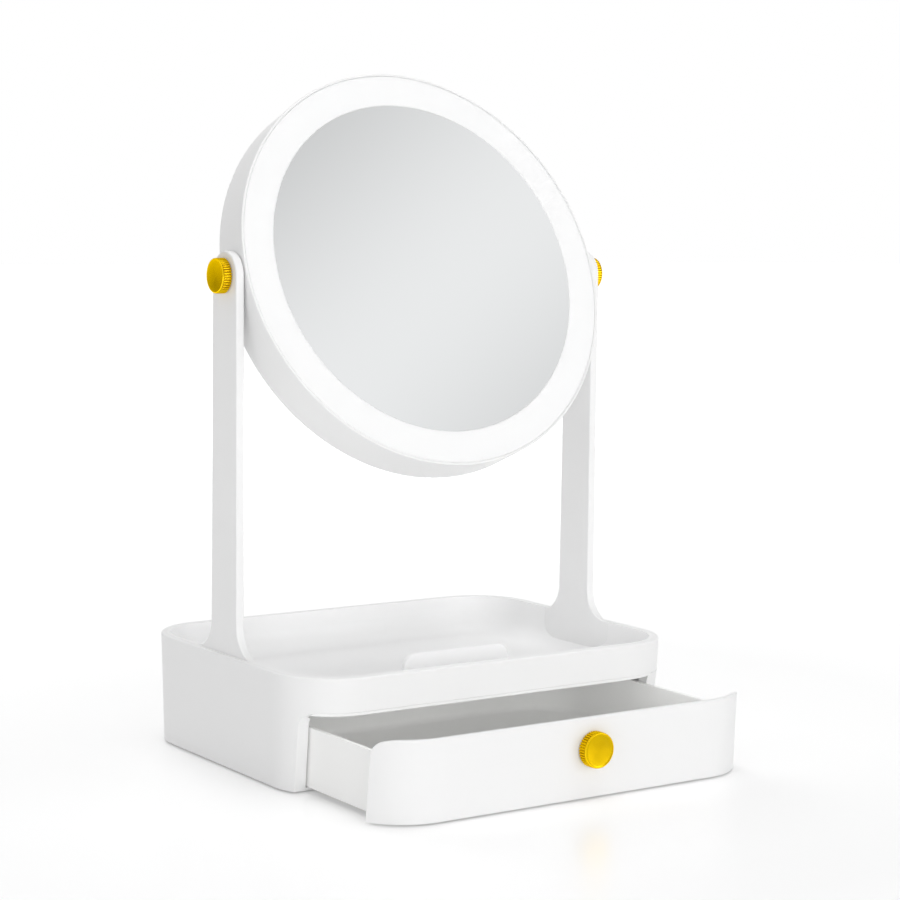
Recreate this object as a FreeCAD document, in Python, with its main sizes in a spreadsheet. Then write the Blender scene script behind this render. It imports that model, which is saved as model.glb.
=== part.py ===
import FreeCAD, Part
import math
import os

import Sketcher

# Free-standing vanity mirror: a lit round mirror head that tilts between two uprights, on a
# base with an open tray on top and one drawer below.  Millimetres, +Z up, the front faces -Y,
# +X to the right.  The origin is on the table, under the middle of the base.

SIZES = (
    # base housing
    ("base_width", 220.0), ("base_depth", 167.0), ("base_top", 55.0), ("base_corner", 32.0),
    ("base_draft", 1.6), ("foot_lift", 0.8), ("shell_wall", 2.9), ("rim_round", 0.8),
    ("lip_height", 38.7), ("lip_round", 0.5), ("tray_seat", 35.8),
    ("split_low_in", 19.0), ("split_high_in", 16.3), ("split_round", 8.0),
    ("frame_back_in", 21.5), ("frame_corner", 12.0), ("boss_radius", 3.4), ("boss_in", 34.5),
    ("boss_height", 10.0),
    ("pilot_radius", 1.35),
    # base floor, feet and their screws
    ("floor_thick", 1.3), ("floor_gap", 0.15), ("foot_radius", 7.0), ("foot_inset", 19.0),
    ("foot_shift", 7.0),
    ("screw_shank", 1.3), ("screw_head", 2.0), ("screw_head_thick", 1.1),
    ("screw_length", 9.0), ("screw_clear", 1.5), ("screw_sink", 0.5),
    # tray
    ("tray_wall", 1.9), ("tray_floor", 35.5), ("tray_floor_thick", 2.0), ("tray_cove", 12.0),
    ("tray_gap", 0.1), ("skirt_low", 36.9), ("divider_width", 62.0), ("divider_thick", 3.0),
    ("divider_top", 54.0),
    ("divider_round", 7.0), ("divider_in", 42.5), ("stop_rib_in", 50.5),
    ("stop_rib_width", 60.0), ("stop_rib_thick", 2.0), ("stop_overlap", 1.2), ("stop_gap", 0.8),
    ("stop_tab_half", 15.0), ("foot_fit", 0.05), ("divider_edge", 0.9),
    ("post_radius", 3.0), ("post_side_in", 15.8), ("post_back_in", 14.6),
    ("post_rise", 1.3),
    # drawer
    ("drawer_open", 61.0), ("tub_side_in", 11.6), ("tub_wall", 2.0), ("tub_floor_thick", 2.0),
    ("tub_bottom", 2.5), ("tub_top", 30.6), ("tub_front_in", 4.8), ("tub_back_in", 8.5),
    ("tub_front_corner", 20.0), ("tub_back_corner", 28.0), ("tub_cove", 3.0),
    ("tub_side_gap", 1.0), ("glide_thick", 0.35), ("glide_radius", 5.0), ("glide_inset", 22.0),
    ("glide_pitch", 40.0), ("panel_screw_height", 14.0), ("panel_screw_length", 4.5),
    ("panel_wall", 2.4), ("panel_top", 38.3), ("panel_gap", 0.4), ("panel_bevel", 0.7),
    ("panel_bevel_over", 0.3),
    ("panel_screw_pitch", 120.0), ("panel_boss_radius", 4.0), ("panel_pull_height", 23.6),
    ("panel_pull_aside", 6.0),
    # uprights
    ("upright_thick", 4.3), ("upright_gap", 0.1), ("upright_low_half", 12.4),
    ("upright_top_half", 11.6), ("flare_radius", 15.0),
    ("foot_flat_half", 13.0), ("tenon_half", 20.0), ("tenon_thick", 3.9),
    ("upright_edge_round", 0.7), ("upright_screw_pitch", 26.0),
    # pivots
    ("pivot_height", 235.5), ("stud_radius", 2.5), ("bush_radius", 4.0), ("bush_wall_gap", 0.05),
    ("bush_flange_radius", 6.5), ("bush_flange_thick", 0.3), ("stud_head_radius", 5.0),
    ("stud_head_thick", 2.0), ("stud_boss_radius", 4.6), ("stud_boss_depth", 3.5),
    ("pivot_fit", 0.05), ("knob_gap", 0.1),
    # knurled knobs
    ("knob_radius", 8.4), ("knob_face_radius", 7.5), ("knob_band", 4.3), ("knob_chamfer", 0.65),
    ("knob_neck_radius", 6.2), ("knob_neck", 0.25), ("knob_bore_depth", 3.6),
    ("knob_dish", 0.35), ("knurl_count", 40.0), ("knurl_depth", 0.4), ("knurl_half_width", 0.5),
    # mirror head
    ("head_tilt", 21.65), ("head_side_in", 7.8), ("head_front", 12.5), ("head_back", 13.7),
    ("head_wall", 2.2), ("head_lip", 1.1), ("head_back_round", 4.0), ("head_edge_round", 0.5),
    ("light_inner_in", 17.1), ("light_thick", 2.0), ("light_skirt", 1.2), ("light_gap", 0.2),
    ("light_round", 0.3), ("light_seat", 4.0), ("board_inset", 1.9), ("led_margin", 4.0),
    ("glass_thick", 3.0), ("glass_gap", 0.2), ("glass_round", 0.3), ("carrier_thick", 1.8),
    ("carrier_flange", 1.0), ("board_thick", 1.2), ("led_count", 36.0), ("led_ring_in", 10.9),
    ("led_length", 3.5), ("led_width", 2.8), ("led_height", 1.2),
    ("head_post_in", 32.2), ("head_post_radius", 4.0),
    # battery bay and its cover
    ("bay_width", 62.0), ("bay_height", 60.0), ("bay_top", -14.0), ("bay_wall", 2.8),
    ("bay_floor_wall", 1.6),
    ("cell_radius", 7.2), ("cell_length", 50.0), ("cell_pitch", 15.0), ("cell_gap", 0.3),
    ("cover_thick", 1.8), ("cover_ledge", 2.5), ("cover_gap", 0.3), ("contact_thick", 0.5),
    # switch
    ("button_height", 52.0), ("button_radius", 5.5), ("button_clear", 0.2),
    ("button_proud", 1.6), ("button_flange", 1.0), ("button_slack", 0.1), ("button_lift", 1.2),
    ("control_post_radius", 2.5),
    ("switch_side", 6.0), ("switch_body", 3.4), ("plunger_radius", 1.7),
    ("control_width", 34.0), ("control_height", 20.0), ("lead_radius", 0.7),
)

doc = FreeCAD.newDocument("vanity_mirror")
sheet = doc.addObject("Spreadsheet::Sheet", "sizes")


class Size:
    """A length that knows both its number and the sheet expression that gives it."""

    def __init__(self, value, text):
        self.value = float(value)
        self.text = text

    def _with(self, other, sign, flip=False):
        other = other if isinstance(other, Size) else Size(other, repr(float(other)))
        a, b = (other, self) if flip else (self, other)
        number = {"+": a.value + b.value, "-": a.value - b.value, "*": a.value * b.value,
                  "/": a.value / b.value if b.value else 0.0}[sign]
        return Size(number, "(%s %s %s)" % (a.text, sign, b.text))

    def __add__(self, other):
        return self._with(other, "+")

    def __radd__(self, other):
        return self._with(other, "+", True)

    def __sub__(self, other):
        return self._with(other, "-")

    def __rsub__(self, other):
        return self._with(other, "-", True)

    def __mul__(self, other):
        return self._with(other, "*")

    def __rmul__(self, other):
        return self._with(other, "*", True)

    def __truediv__(self, other):
        return self._with(other, "/")

    def __neg__(self):
        return self._with(-1.0, "*")


class Sizes:
    """The driving dimensions, each an attribute with the name it has in the sheet."""


S = Sizes()
for row, (alias, number) in enumerate(SIZES, start=1):
    sheet.set("A%d" % row, alias)
    sheet.set("B%d" % row, repr(number))
    sheet.setAlias("B%d" % row, alias)
    setattr(S, alias, Size(number, "sizes.%s" % alias))
ZERO = Size(0.0, "0")
doc.recompute()


# ---------------------------------------------------------------- sketch and feature helpers

def as_size(number):
    return number if isinstance(number, Size) else Size(number, repr(float(number)))


def bind(thing, prop, size):
    """Tie one property to a size."""
    thing.setExpression(prop, as_size(size).text)


def new_body(name):
    body = doc.addObject("PartDesign::Body", name)
    body.Label = name
    return body


def place(thing, x=0, y=0, z=0, axis=(0, 0, 1), angle=0.0):
    """Put a piece in the frame: turned about the axis, then moved to x, y, z."""
    thing.Placement = FreeCAD.Placement(FreeCAD.Vector(0, 0, 0),
                                        FreeCAD.Rotation(FreeCAD.Vector(*axis), angle))
    for letter, size in (("x", x), ("y", y), ("z", z)):
        bind(thing, "Placement.Base.%s" % letter, size)


def sketch_on(body, role, offset=None):
    """A sketch on one of the body's own origin planes, moved along the plane's normal."""
    sketch = body.newObject("Sketcher::SketchObject", "outline")
    plane = [item for item in body.Origin.OriginFeatures if item.Role == role][0]
    sketch.AttachmentSupport = [(plane, "")]
    sketch.MapMode = "FlatFace"
    if offset is not None:
        bind(sketch, "AttachmentOffset.Base.z", offset)
    return sketch


def pin(sketch, shape, end, x, y):
    """Fix one point of a sketch element by its distances from the sketch's origin."""
    for kind, size in (("DistanceX", as_size(x)), ("DistanceY", as_size(y))):
        index = sketch.addConstraint(Sketcher.Constraint(kind, -1, 1, shape, end, size.value))
        sketch.setExpression("Constraints[%d]" % index, size.text)


def arc_between(start, end, radius, leftwards):
    """The short arc from start to end, turning left or right as it goes."""
    chord = end - start
    middle = (start + end) * 0.5
    rise = math.sqrt(max(radius * radius - chord.Length * chord.Length / 4, 0.0))
    normal = FreeCAD.Vector(-chord.y, chord.x, 0).normalize() * (1 if leftwards else -1)
    centre = middle + normal * rise
    first, last = (start, end) if leftwards else (end, start)
    angles = [math.atan2(p.y - centre.y, p.x - centre.x) for p in (first, last)]
    if angles[1] < angles[0]:
        angles[1] += 2 * math.pi
    circle = Part.Circle(centre, FreeCAD.Vector(0, 0, 1), radius)
    return Part.ArcOfCircle(circle, angles[0], angles[1])


def outline(sketch, steps):
    """A closed outline.  Each step is (x, y), or (x, y, radius, "left" or "right") where an
    arc of that radius leads to the next point."""
    spots = [FreeCAD.Vector(as_size(s[0]).value, as_size(s[1]).value, 0) for s in steps]
    ends = []
    for index, step in enumerate(steps):
        here, there = spots[index], spots[(index + 1) % len(steps)]
        if len(step) == 2:
            shape = sketch.addGeometry(Part.LineSegment(here, there))
            ends.append((shape, 1, 2))
            continue
        leftwards = step[3] == "left"
        arc = arc_between(here, there, as_size(step[2]).value, leftwards)
        shape = sketch.addGeometry(arc)
        ends.append((shape, 1, 2) if leftwards else (shape, 2, 1))
        radius = sketch.addConstraint(Sketcher.Constraint("Radius", shape, as_size(step[2]).value))
        sketch.setExpression("Constraints[%d]" % radius, as_size(step[2]).text)
    for index, (shape, begin, _) in enumerate(ends):
        before = ends[index - 1]
        sketch.addConstraint(Sketcher.Constraint("Coincident", before[0], before[2], shape, begin))
        pin(sketch, shape, begin, steps[index][0], steps[index][1])


def box_outline(sketch, x_low, x_high, y_low, y_high):
    outline(sketch, [(x_low, y_low), (x_high, y_low), (x_high, y_high), (x_low, y_high)])


def round_box(sketch, half_x, low_y, high_y, low_corner, high_corner):
    """A rectangle centred on x = 0 with one corner radius at its low-y end and one at its
    high-y end."""
    a, b = low_corner, high_corner
    outline(sketch, [
        (-half_x + a, low_y), (half_x - a, low_y, a, "left"), (half_x, low_y + a),
        (half_x, high_y - b, b, "left"), (half_x - b, high_y), (-half_x + b, high_y, b, "left"),
        (-half_x, high_y - b), (-half_x, low_y + a, a, "left")])


def circle(sketch, x, y, radius):
    centre = FreeCAD.Vector(as_size(x).value, as_size(y).value, 0)
    shape = sketch.addGeometry(
        Part.Circle(centre, FreeCAD.Vector(0, 0, 1), as_size(radius).value))
    pin(sketch, shape, 3, x, y)
    index = sketch.addConstraint(Sketcher.Constraint("Radius", shape, as_size(radius).value))
    sketch.setExpression("Constraints[%d]" % index, as_size(radius).text)


def pad(body, sketch, length, backwards=False):
    feature = body.newObject("PartDesign::Pad", "pad")
    feature.Profile = sketch
    bind(feature, "Length", length)
    feature.Reversed = backwards
    return feature


def pocket(body, sketch, length, backwards=False, both_ways=False):
    feature = body.newObject("PartDesign::Pocket", "pocket")
    feature.Profile = sketch
    bind(feature, "Length", length)
    feature.Reversed = backwards
    feature.Midplane = both_ways
    return feature


def loft(body, low, others, cut=False):
    kind = "PartDesign::SubtractiveLoft" if cut else "PartDesign::AdditiveLoft"
    feature = body.newObject(kind, "loft")
    feature.Profile = low
    feature.Sections = others
    feature.Ruled = True
    return feature


def turn(body, sketch, axis="V_Axis"):
    feature = body.newObject("PartDesign::Revolution", "turned")
    feature.Profile = sketch
    feature.ReferenceAxis = (sketch, [axis])
    feature.Angle = 360.0
    return feature


def round_edges(body, radius, chosen):
    """Round the edges of the body's tip that the test picks."""
    doc.recompute()
    base = body.Tip
    names = ["Edge%d" % (index + 1) for index, edge in enumerate(base.Shape.Edges)
             if chosen(edge)]
    feature = body.newObject("PartDesign::Fillet", "edges")
    feature.Base = (base, names)
    bind(feature, "Radius", radius)
    return feature


def mirrored(body, features, role):
    """Repeat features on the other side of one of the body's origin planes."""
    feature = body.newObject("PartDesign::Mirrored", "mirrored")
    feature.Originals = features
    feature.MirrorPlane = ([item for item in body.Origin.OriginFeatures
                            if item.Role == role][0], [""])
    body.Tip = feature
    return feature


def ring_of(body, features, role, count):
    """Repeat features evenly round one of the body's origin axes."""
    feature = body.newObject("PartDesign::PolarPattern", "ring")
    feature.Originals = features
    feature.Axis = ([item for item in body.Origin.OriginFeatures if item.Role == role][0], [""])
    feature.Angle = 360.0
    bind(feature, "Occurrences", count)
    body.Tip = feature
    return feature


def cylinder(name, radius, length):
    thing = doc.addObject("Part::Cylinder", name)
    bind(thing, "Radius", radius)
    bind(thing, "Height", length)
    return thing


def block(name, length, width, height):
    thing = doc.addObject("Part::Box", name)
    for prop, size in (("Length", length), ("Width", width), ("Height", height)):
        bind(thing, prop, size)
    return thing


def group(name, members):
    """One node of several separate solids."""
    thing = doc.addObject("Part::Compound", name)
    thing.Label = name
    thing.Links = members
    return thing


def fused(name, members):
    thing = doc.addObject("Part::MultiFuse", name)
    thing.Label = name
    thing.Shapes = members
    return thing


def near(first, second, slack=0.05):
    return abs(first - as_size(second).value) < slack


def span(edge):
    return edge.BoundBox


# ---------------------------------------------------------------- sizes worked out from others

half_width = S.base_width / 2
half_depth = S.base_depth / 2
floor_top = S.foot_lift + S.floor_thick
low_half_width = half_width - S.base_draft - S.shell_wall
low_half_depth = half_depth - S.base_draft - S.shell_wall
far = half_depth + 20
split_low = half_depth - S.split_low_in
split_high = half_depth - S.split_high_in
frame_back = half_depth - S.frame_back_in
boss_pitch = half_depth - S.boss_in
post_across = half_width - S.post_side_in
post_behind = half_depth - S.post_back_in
divider_ahead = half_depth - S.divider_in
stop_rib_ahead = half_depth - S.stop_rib_in
tub_half = half_width - S.tub_side_in
tub_front = half_depth - S.tub_front_in
tub_back = half_depth - S.tub_back_in
window_half = tub_half + S.tub_side_gap
tray_under = S.tray_floor - S.tray_floor_thick
upright_out = half_width - S.shell_wall - S.upright_gap
upright_in = upright_out - S.upright_thick
foot_half = S.upright_low_half + S.flare_radius
rim_in = half_width - S.shell_wall - S.tray_gap - S.tray_wall
tenon_out = low_half_width - S.floor_gap
tenon_in = tenon_out - S.tenon_thick
tenon_middle = (tenon_out + tenon_in) / 2
boss_x = low_half_width - S.boss_radius + 1
pull_y = half_depth - S.base_draft * (S.base_top - S.panel_pull_height) / (
    S.base_top - S.foot_lift)

front_face = -S.head_front
glass_front = front_face + S.glass_gap
glass_back = glass_front + S.glass_thick
light_back = front_face + S.light_thick
carrier_back = glass_back + S.carrier_thick
board_front = glass_back + S.board_inset
board_back = board_front + S.board_thick
flange_back = board_back + S.carrier_flange
head_radius = half_width - S.head_side_in
head_post_ring = head_radius - S.head_post_in
light_inner = head_radius - S.light_inner_in
led_ring = head_radius - S.led_ring_in
head_inside = head_radius - S.head_wall
lip_inside = head_radius - S.head_lip
light_outer = lip_inside - S.light_gap
ledge_y = front_face + S.light_seat
plate_in = S.head_back - S.head_wall
bay_floor = S.head_back - S.cover_thick - 2 * S.cell_gap - 2 * S.cell_radius
bay_low = S.bay_top - S.bay_height
cell_y = bay_floor + S.cell_gap + S.cell_radius
cover_half = S.bay_width / 2 + S.cover_ledge
control_back = plate_in - S.button_flange - S.button_lift - S.switch_body
TILT = -S.head_tilt.value


def in_head(thing):
    """Put a piece that was drawn round the pivot into the tilted mirror head."""
    place(thing, z=S.pivot_height, axis=(1, 0, 0), angle=TILT)


def in_drawer(thing):
    """Put a piece that was drawn with the drawer shut where the open drawer holds it."""
    place(thing, y=-S.drawer_open)


# ---------------------------------------------------------------- base

def base_form(body, inset, cut=False, front=None, front_corner=None, bevel_at=None):
    """The base's drafted block, each side moved in by the inset.  It may stop short in front;
    with bevel_at its sides lean in from just below that height."""
    levels = [(S.foot_lift, ZERO), (S.base_top, ZERO)]
    if bevel_at is not None:
        size, over = S.panel_bevel, S.panel_bevel_over
        levels[1:] = [(bevel_at - size, ZERO), (bevel_at + over, size + over),
                      (S.base_top, size + over)]
    sketches = []
    for height, lean in levels:
        share = (S.base_top - height) / (S.base_top - S.foot_lift)
        inward = S.base_draft * share + inset + lean
        sketch = sketch_on(body, "XY_Plane", height)
        back = half_depth - inward
        corner = S.base_corner - inward
        round_box(sketch, half_width - inward, -back if front is None else -front, back,
                  corner if front_corner is None else front_corner, corner)
        sketches.append(sketch)
    return loft(body, sketches[0], sketches[1:], cut)


def split_profile(body, gap, top, ahead):
    """The line, seen from the side, where the drawer front leaves the base: the part of the
    block ahead of it, or the part behind and above it."""
    sketch = sketch_on(body, "YZ_Plane")
    low = (-split_low - gap, ZERO)
    bend = (-split_high - gap, top - S.split_round)
    end = (-split_high - gap - S.split_round, top)
    if ahead:
        outline(sketch, [(-far, ZERO), low, bend + (S.split_round, "left"), end, (-far, top)])
    else:
        above = S.base_top + 10
        outline(sketch, [low, (far, ZERO), (far, above), (-far, above), (-far, top),
                         end + (S.split_round, "right"), bend])
    return pocket(body, sketch, S.base_width + 20, both_ways=True)


def base_housing():
    body = new_body("base_housing")
    base_form(body, ZERO)
    base_form(body, S.shell_wall, cut=True, front=frame_back, front_corner=S.frame_corner)
    top = sketch_on(body, "XY_Plane", S.base_top)
    inside = half_depth - S.shell_wall
    corner = S.base_corner - S.shell_wall
    round_box(top, half_width - S.shell_wall, -inside, inside, corner, corner)
    pocket(body, top, S.base_top - S.tray_seat)
    window = sketch_on(body, "XY_Plane")
    box_outline(window, -window_half, window_half, -far, -frame_back + 4)
    pocket(body, window, S.lip_height, backwards=True)
    split_profile(body, ZERO, S.lip_height, ahead=True)
    bosses = sketch_on(body, "XY_Plane", floor_top + 0.05)
    pilots = sketch_on(body, "XY_Plane", floor_top)
    for x in (-boss_x, boss_x):
        for y in (-boss_pitch, boss_pitch):
            circle(bosses, x, y, S.boss_radius)
            circle(pilots, x, y, S.pilot_radius)
    pad(body, bosses, S.boss_height)
    pocket(body, pilots, S.boss_height - 1, backwards=True)
    round_edges(body, S.rim_round, lambda e: level_edge(e, S.base_top) and outer_edge(e))
    round_edges(body, S.lip_round, lambda e: level_edge(e, S.lip_height) and outer_edge(e)
                and span(e).YMax < 0.1 - split_high.value - S.split_round.value)
    return body


def level_edge(edge, height):
    return near(span(edge).ZMin, height) and near(span(edge).ZMax, height)


def outer_edge(edge):
    """True for an edge on the outer face of the base's drafted block."""
    middle = edge.valueAt((edge.FirstParameter + edge.LastParameter) / 2)
    share = (S.base_top.value - middle.z) / (S.base_top.value - S.foot_lift.value)
    corner = S.base_corner.value
    inward = S.base_draft.value * share
    dx = abs(middle.x) - (half_width.value - corner)
    dy = abs(middle.y) - (half_depth.value - corner)
    reach = math.hypot(dx, dy) if dx > 0 and dy > 0 else max(dx, dy)
    return abs(reach - corner + inward) < 0.3


def base_floor():
    body = new_body("base_floor")
    plate = sketch_on(body, "XY_Plane", S.foot_lift)
    corner = S.base_corner - S.base_draft - S.shell_wall - S.floor_gap
    round_box(plate, low_half_width - S.floor_gap, -frame_back + S.floor_gap,
              low_half_depth - S.floor_gap, S.frame_corner, corner)
    pad(body, plate, S.floor_thick)
    tongue = sketch_on(body, "XY_Plane", S.foot_lift)
    box_outline(tongue, -window_half + S.floor_gap, window_half - S.floor_gap,
                -split_low, -frame_back + 10)
    pad(body, tongue, S.floor_thick)
    holes = sketch_on(body, "XY_Plane")
    seats = sketch_on(body, "XY_Plane")
    for x, y in floor_screw_spots() + upright_screw_spots():
        circle(holes, x, y, S.screw_clear)
        circle(seats, x, y, S.screw_head + 0.3)
    pocket(body, holes, floor_top + 1, backwards=True)
    pocket(body, seats, S.foot_lift + S.screw_sink, backwards=True)
    return body


def floor_screw_spots():
    corners = [(x, y) for x in (-boss_x, boss_x) for y in (-boss_pitch, boss_pitch)]
    return corners + [(-post_across, post_behind), (post_across, post_behind)]


def upright_screw_spots():
    reach = S.upright_screw_pitch / 2
    return [(x, y) for x in (-tenon_middle, tenon_middle) for y in (-reach, reach)]


def screw(name, x, y, z, axis=(0, 0, 1), angle=0.0, length=None):
    """A pan-head screw: the underside of its head at x, y, z, the shank along its own +Z."""
    head = cylinder(name + "_head", S.screw_head, S.screw_head_thick)
    bind(head, "Placement.Base.z", -S.screw_head_thick)
    shank = cylinder(name + "_shank", S.screw_shank, length or S.screw_length)
    whole = fused(name, [head, shank])
    place(whole, x, y, z, axis, angle)
    return whole


def screws_from_below(name, spots):
    seat = S.foot_lift + S.screw_sink
    return group(name, [screw("%s_%d" % (name, n), x, y, seat)
                        for n, (x, y) in enumerate(spots)])


def rubber_feet():
    """Four corner feet, and one in the middle that carries the floor under a full drawer."""
    across = low_half_width - S.foot_inset
    along = low_half_depth - S.foot_inset
    spots = [(x, y) for x in (-across, across) for y in (-along + S.foot_shift, along)]
    members = []
    for x, y in [(ZERO, ZERO)] + spots:
        foot = cylinder("foot", S.foot_radius, S.foot_lift)
        place(foot, x, y)
        members.append(foot)
    return group("rubber_feet", members)


# ---------------------------------------------------------------- tray

def foot_plan(sketch, side, gap, back_x):
    """The upright's foot seen from above: flat inside, its ends bending out to the rim."""
    inner, bend, end = upright_in - gap, S.foot_flat_half, foot_half + gap
    edge = rim_in - gap
    run, rise = end - bend, edge - inner
    radius = (run * run + rise * rise) / (2 * rise)
    onward = "right" if side > 0 else "left"
    outline(sketch, [
        (side * inner, -bend), (side * inner, bend, radius, onward), (side * edge, end),
        (side * back_x, end), (side * back_x, -end), (side * edge, -end, radius, onward)])


def tray():
    body = new_body("tray")
    gap = S.shell_wall + S.tray_gap
    block = sketch_on(body, "XY_Plane", tray_under)
    side, back, corner = half_width - gap, half_depth - gap, S.base_corner - gap
    round_box(block, side, -back, back, corner, corner)
    pad(body, block, S.base_top - tray_under)
    well = sketch_on(body, "XY_Plane", S.base_top)
    inset = S.tray_wall
    round_box(well, side - inset, -back + inset, back - inset, corner - inset, corner - inset)
    pocket(body, well, S.base_top - S.tray_floor)
    round_edges(body, S.tray_cove, lambda e: near(span(e).ZMax, S.tray_floor)
                and near(span(e).ZMin, S.tray_floor))
    round_edges(body, S.tray_cove + S.tray_wall, lambda e: near(span(e).ZMax, tray_under))
    skirt = sketch_on(body, "XY_Plane", S.skirt_low)
    round_box(skirt, side, -back, back, corner, corner)
    round_box(skirt, side - inset, -back + inset, back - inset, corner - inset, corner - inset)
    pad(body, skirt, S.base_top - S.tray_cove - S.skirt_low)
    for turn_side in (-1, 1):
        notch = sketch_on(body, "XY_Plane", S.base_top + 1)
        foot_plan(notch, turn_side, S.foot_fit, half_width)
        pocket(body, notch, S.base_top - tray_under + 2)
    divider = sketch_on(body, "XZ_Plane", divider_ahead - S.divider_thick / 2)
    half, top, low = S.divider_width / 2, S.divider_top, S.tray_floor - 0.5
    outline(divider, [
        (-half, low), (half, low), (half, top - S.divider_round, S.divider_round, "left"),
        (half - S.divider_round, top), (-half + S.divider_round, top, S.divider_round, "left"),
        (-half, top - S.divider_round)])
    pad(body, divider, S.divider_thick)
    rib = sketch_on(body, "XY_Plane", tray_under + 0.5)
    reach = S.stop_rib_width / 2
    box_outline(rib, -reach, reach, -stop_rib_ahead - S.stop_rib_thick, -stop_rib_ahead)
    pad(body, rib, tray_under + 0.5 - S.tub_top - S.stop_gap, backwards=True)
    posts = sketch_on(body, "XY_Plane", floor_top + 0.05)
    pilots = sketch_on(body, "XY_Plane", floor_top)
    for x in (-post_across, post_across):
        circle(posts, x, post_behind, S.post_radius)
        circle(pilots, x, post_behind, S.pilot_radius)
    pad(body, posts, S.tray_floor + S.post_rise - floor_top)
    pocket(body, pilots, S.boss_height, backwards=True)
    ahead = divider_ahead.value
    round_edges(body, S.divider_edge, lambda e: abs(abs(span(e).YMin + ahead)
                - S.divider_thick.value / 2) < 0.02 and near(span(e).YMin, span(e).YMax, 0.01)
                and span(e).ZMax > S.tray_floor.value + 2)
    return body


# ---------------------------------------------------------------- uprights

def upright(name, side):
    """One flat upright: round top, flared foot, and a tenon that stands on the base floor."""
    body = new_body(name)
    plane = upright_in if side > 0 else -upright_out
    face = sketch_on(body, "YZ_Plane", plane)
    low, high, foot = S.upright_low_half, S.upright_top_half, foot_half
    bend, pivot, bottom = S.base_top + S.flare_radius, S.pivot_height, S.tray_seat + 0.1
    outline(face, [
        (-foot, bottom), (foot, bottom), (foot, S.base_top, S.flare_radius, "right"),
        (low, bend), (high, pivot, high, "left"), (ZERO, pivot + high, high, "left"),
        (-high, pivot), (-low, bend, S.flare_radius, "right"), (-foot, S.base_top)])
    pad(body, face, S.upright_thick)
    ends = sketch_on(body, "XY_Plane", bend + 5)
    inner, flat, edge = upright_in, S.foot_flat_half, rim_in
    run, rise = foot - flat, edge - inner
    radius = (run * run + rise * rise) / (2 * rise)
    onward = "right" if side > 0 else "left"
    outline(ends, [
        (side * (inner - 1), flat), (side * inner, flat, radius, onward), (side * edge, foot),
        (side * edge, foot + 1), (side * (inner - 1), foot + 1)])
    scallop = pocket(body, ends, bend + 5 - bottom + 1)
    mirrored(body, [scallop], "XZ_Plane")
    tenon = sketch_on(body, "XY_Plane", floor_top + 0.05)
    xs = (tenon_in, tenon_out) if side > 0 else (-tenon_out, -tenon_in)
    box_outline(tenon, xs[0], xs[1], -S.tenon_half, S.tenon_half)
    pad(body, tenon, bottom - floor_top + 0.15)
    pilots = sketch_on(body, "XY_Plane", floor_top)
    for y in (-S.upright_screw_pitch / 2, S.upright_screw_pitch / 2):
        circle(pilots, side * tenon_middle, y, S.pilot_radius)
    pocket(body, pilots, S.screw_length, backwards=True)
    eye = sketch_on(body, "YZ_Plane", plane - 1)
    circle(eye, ZERO, pivot, S.bush_radius + S.bush_wall_gap)
    pocket(body, eye, S.upright_thick + 2, backwards=True)
    outer = side * upright_out.value
    round_edges(body, S.upright_edge_round, lambda e: near(span(e).XMin, outer) and near(
        span(e).XMax, outer) and span(e).ZMax > S.base_top.value + 1 and span(e).YLength
        + span(e).ZLength > 8.5 * 2)
    inner_x = side * upright_in.value
    round_edges(body, S.upright_edge_round, lambda e: near(span(e).XMin, inner_x) and near(
        span(e).XMax, inner_x) and span(e).ZMin > bend.value - 1 and span(e).YLength
        + span(e).ZLength > 8.5 * 2)
    return body


def pivot_bush(name, side):
    """A flanged bush: its sleeve lines the upright's eye, its flange parts it from the head."""
    body = new_body(name)
    half = sketch_on(body, "XY_Plane")
    bore, sleeve, flange = S.stud_radius + S.pivot_fit, S.bush_radius, S.bush_flange_radius
    start = upright_in - S.bush_flange_thick
    outline(half, [(start, bore), (upright_out, bore), (upright_out, sleeve),
                   (upright_in, sleeve), (upright_in, flange), (start, flange)])
    turn(body, half, axis="H_Axis")
    place(body, z=S.pivot_height, angle=0.0 if side > 0 else 180.0)
    return body


def knob(name):
    """A knurled knob with its axis on +Z: neck, knurled band, bevel, dished face, blind bore."""
    body = new_body(name)
    half = sketch_on(body, "XZ_Plane")
    bore = S.stud_radius + S.pivot_fit
    band_top = S.knob_neck + S.knob_band
    face = band_top + S.knob_chamfer
    outline(half, [
        (bore, ZERO), (S.knob_neck_radius, ZERO), (S.knob_neck_radius, S.knob_neck),
        (S.knob_radius, S.knob_neck), (S.knob_radius, band_top), (S.knob_face_radius, face),
        (ZERO, face - S.knob_dish), (ZERO, S.knob_bore_depth), (bore, S.knob_bore_depth)])
    turn(body, half)
    groove = sketch_on(body, "XY_Plane", S.knob_neck - 0.1)
    outline(groove, [(S.knob_radius - S.knurl_depth, ZERO),
                     (S.knob_radius + 0.2, -S.knurl_half_width),
                     (S.knob_radius + 0.2, S.knurl_half_width)])
    cut = pocket(body, groove, S.knob_band + 0.1, backwards=True)
    ring_of(body, [cut], "Z_Axis", S.knurl_count)
    return body


def pivot_knob(name, side):
    body = knob(name)
    place(body, x=side * (upright_out + S.knob_gap), z=S.pivot_height, axis=(0, 1, 0),
          angle=90.0 * side)
    return body


# ---------------------------------------------------------------- drawer

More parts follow.
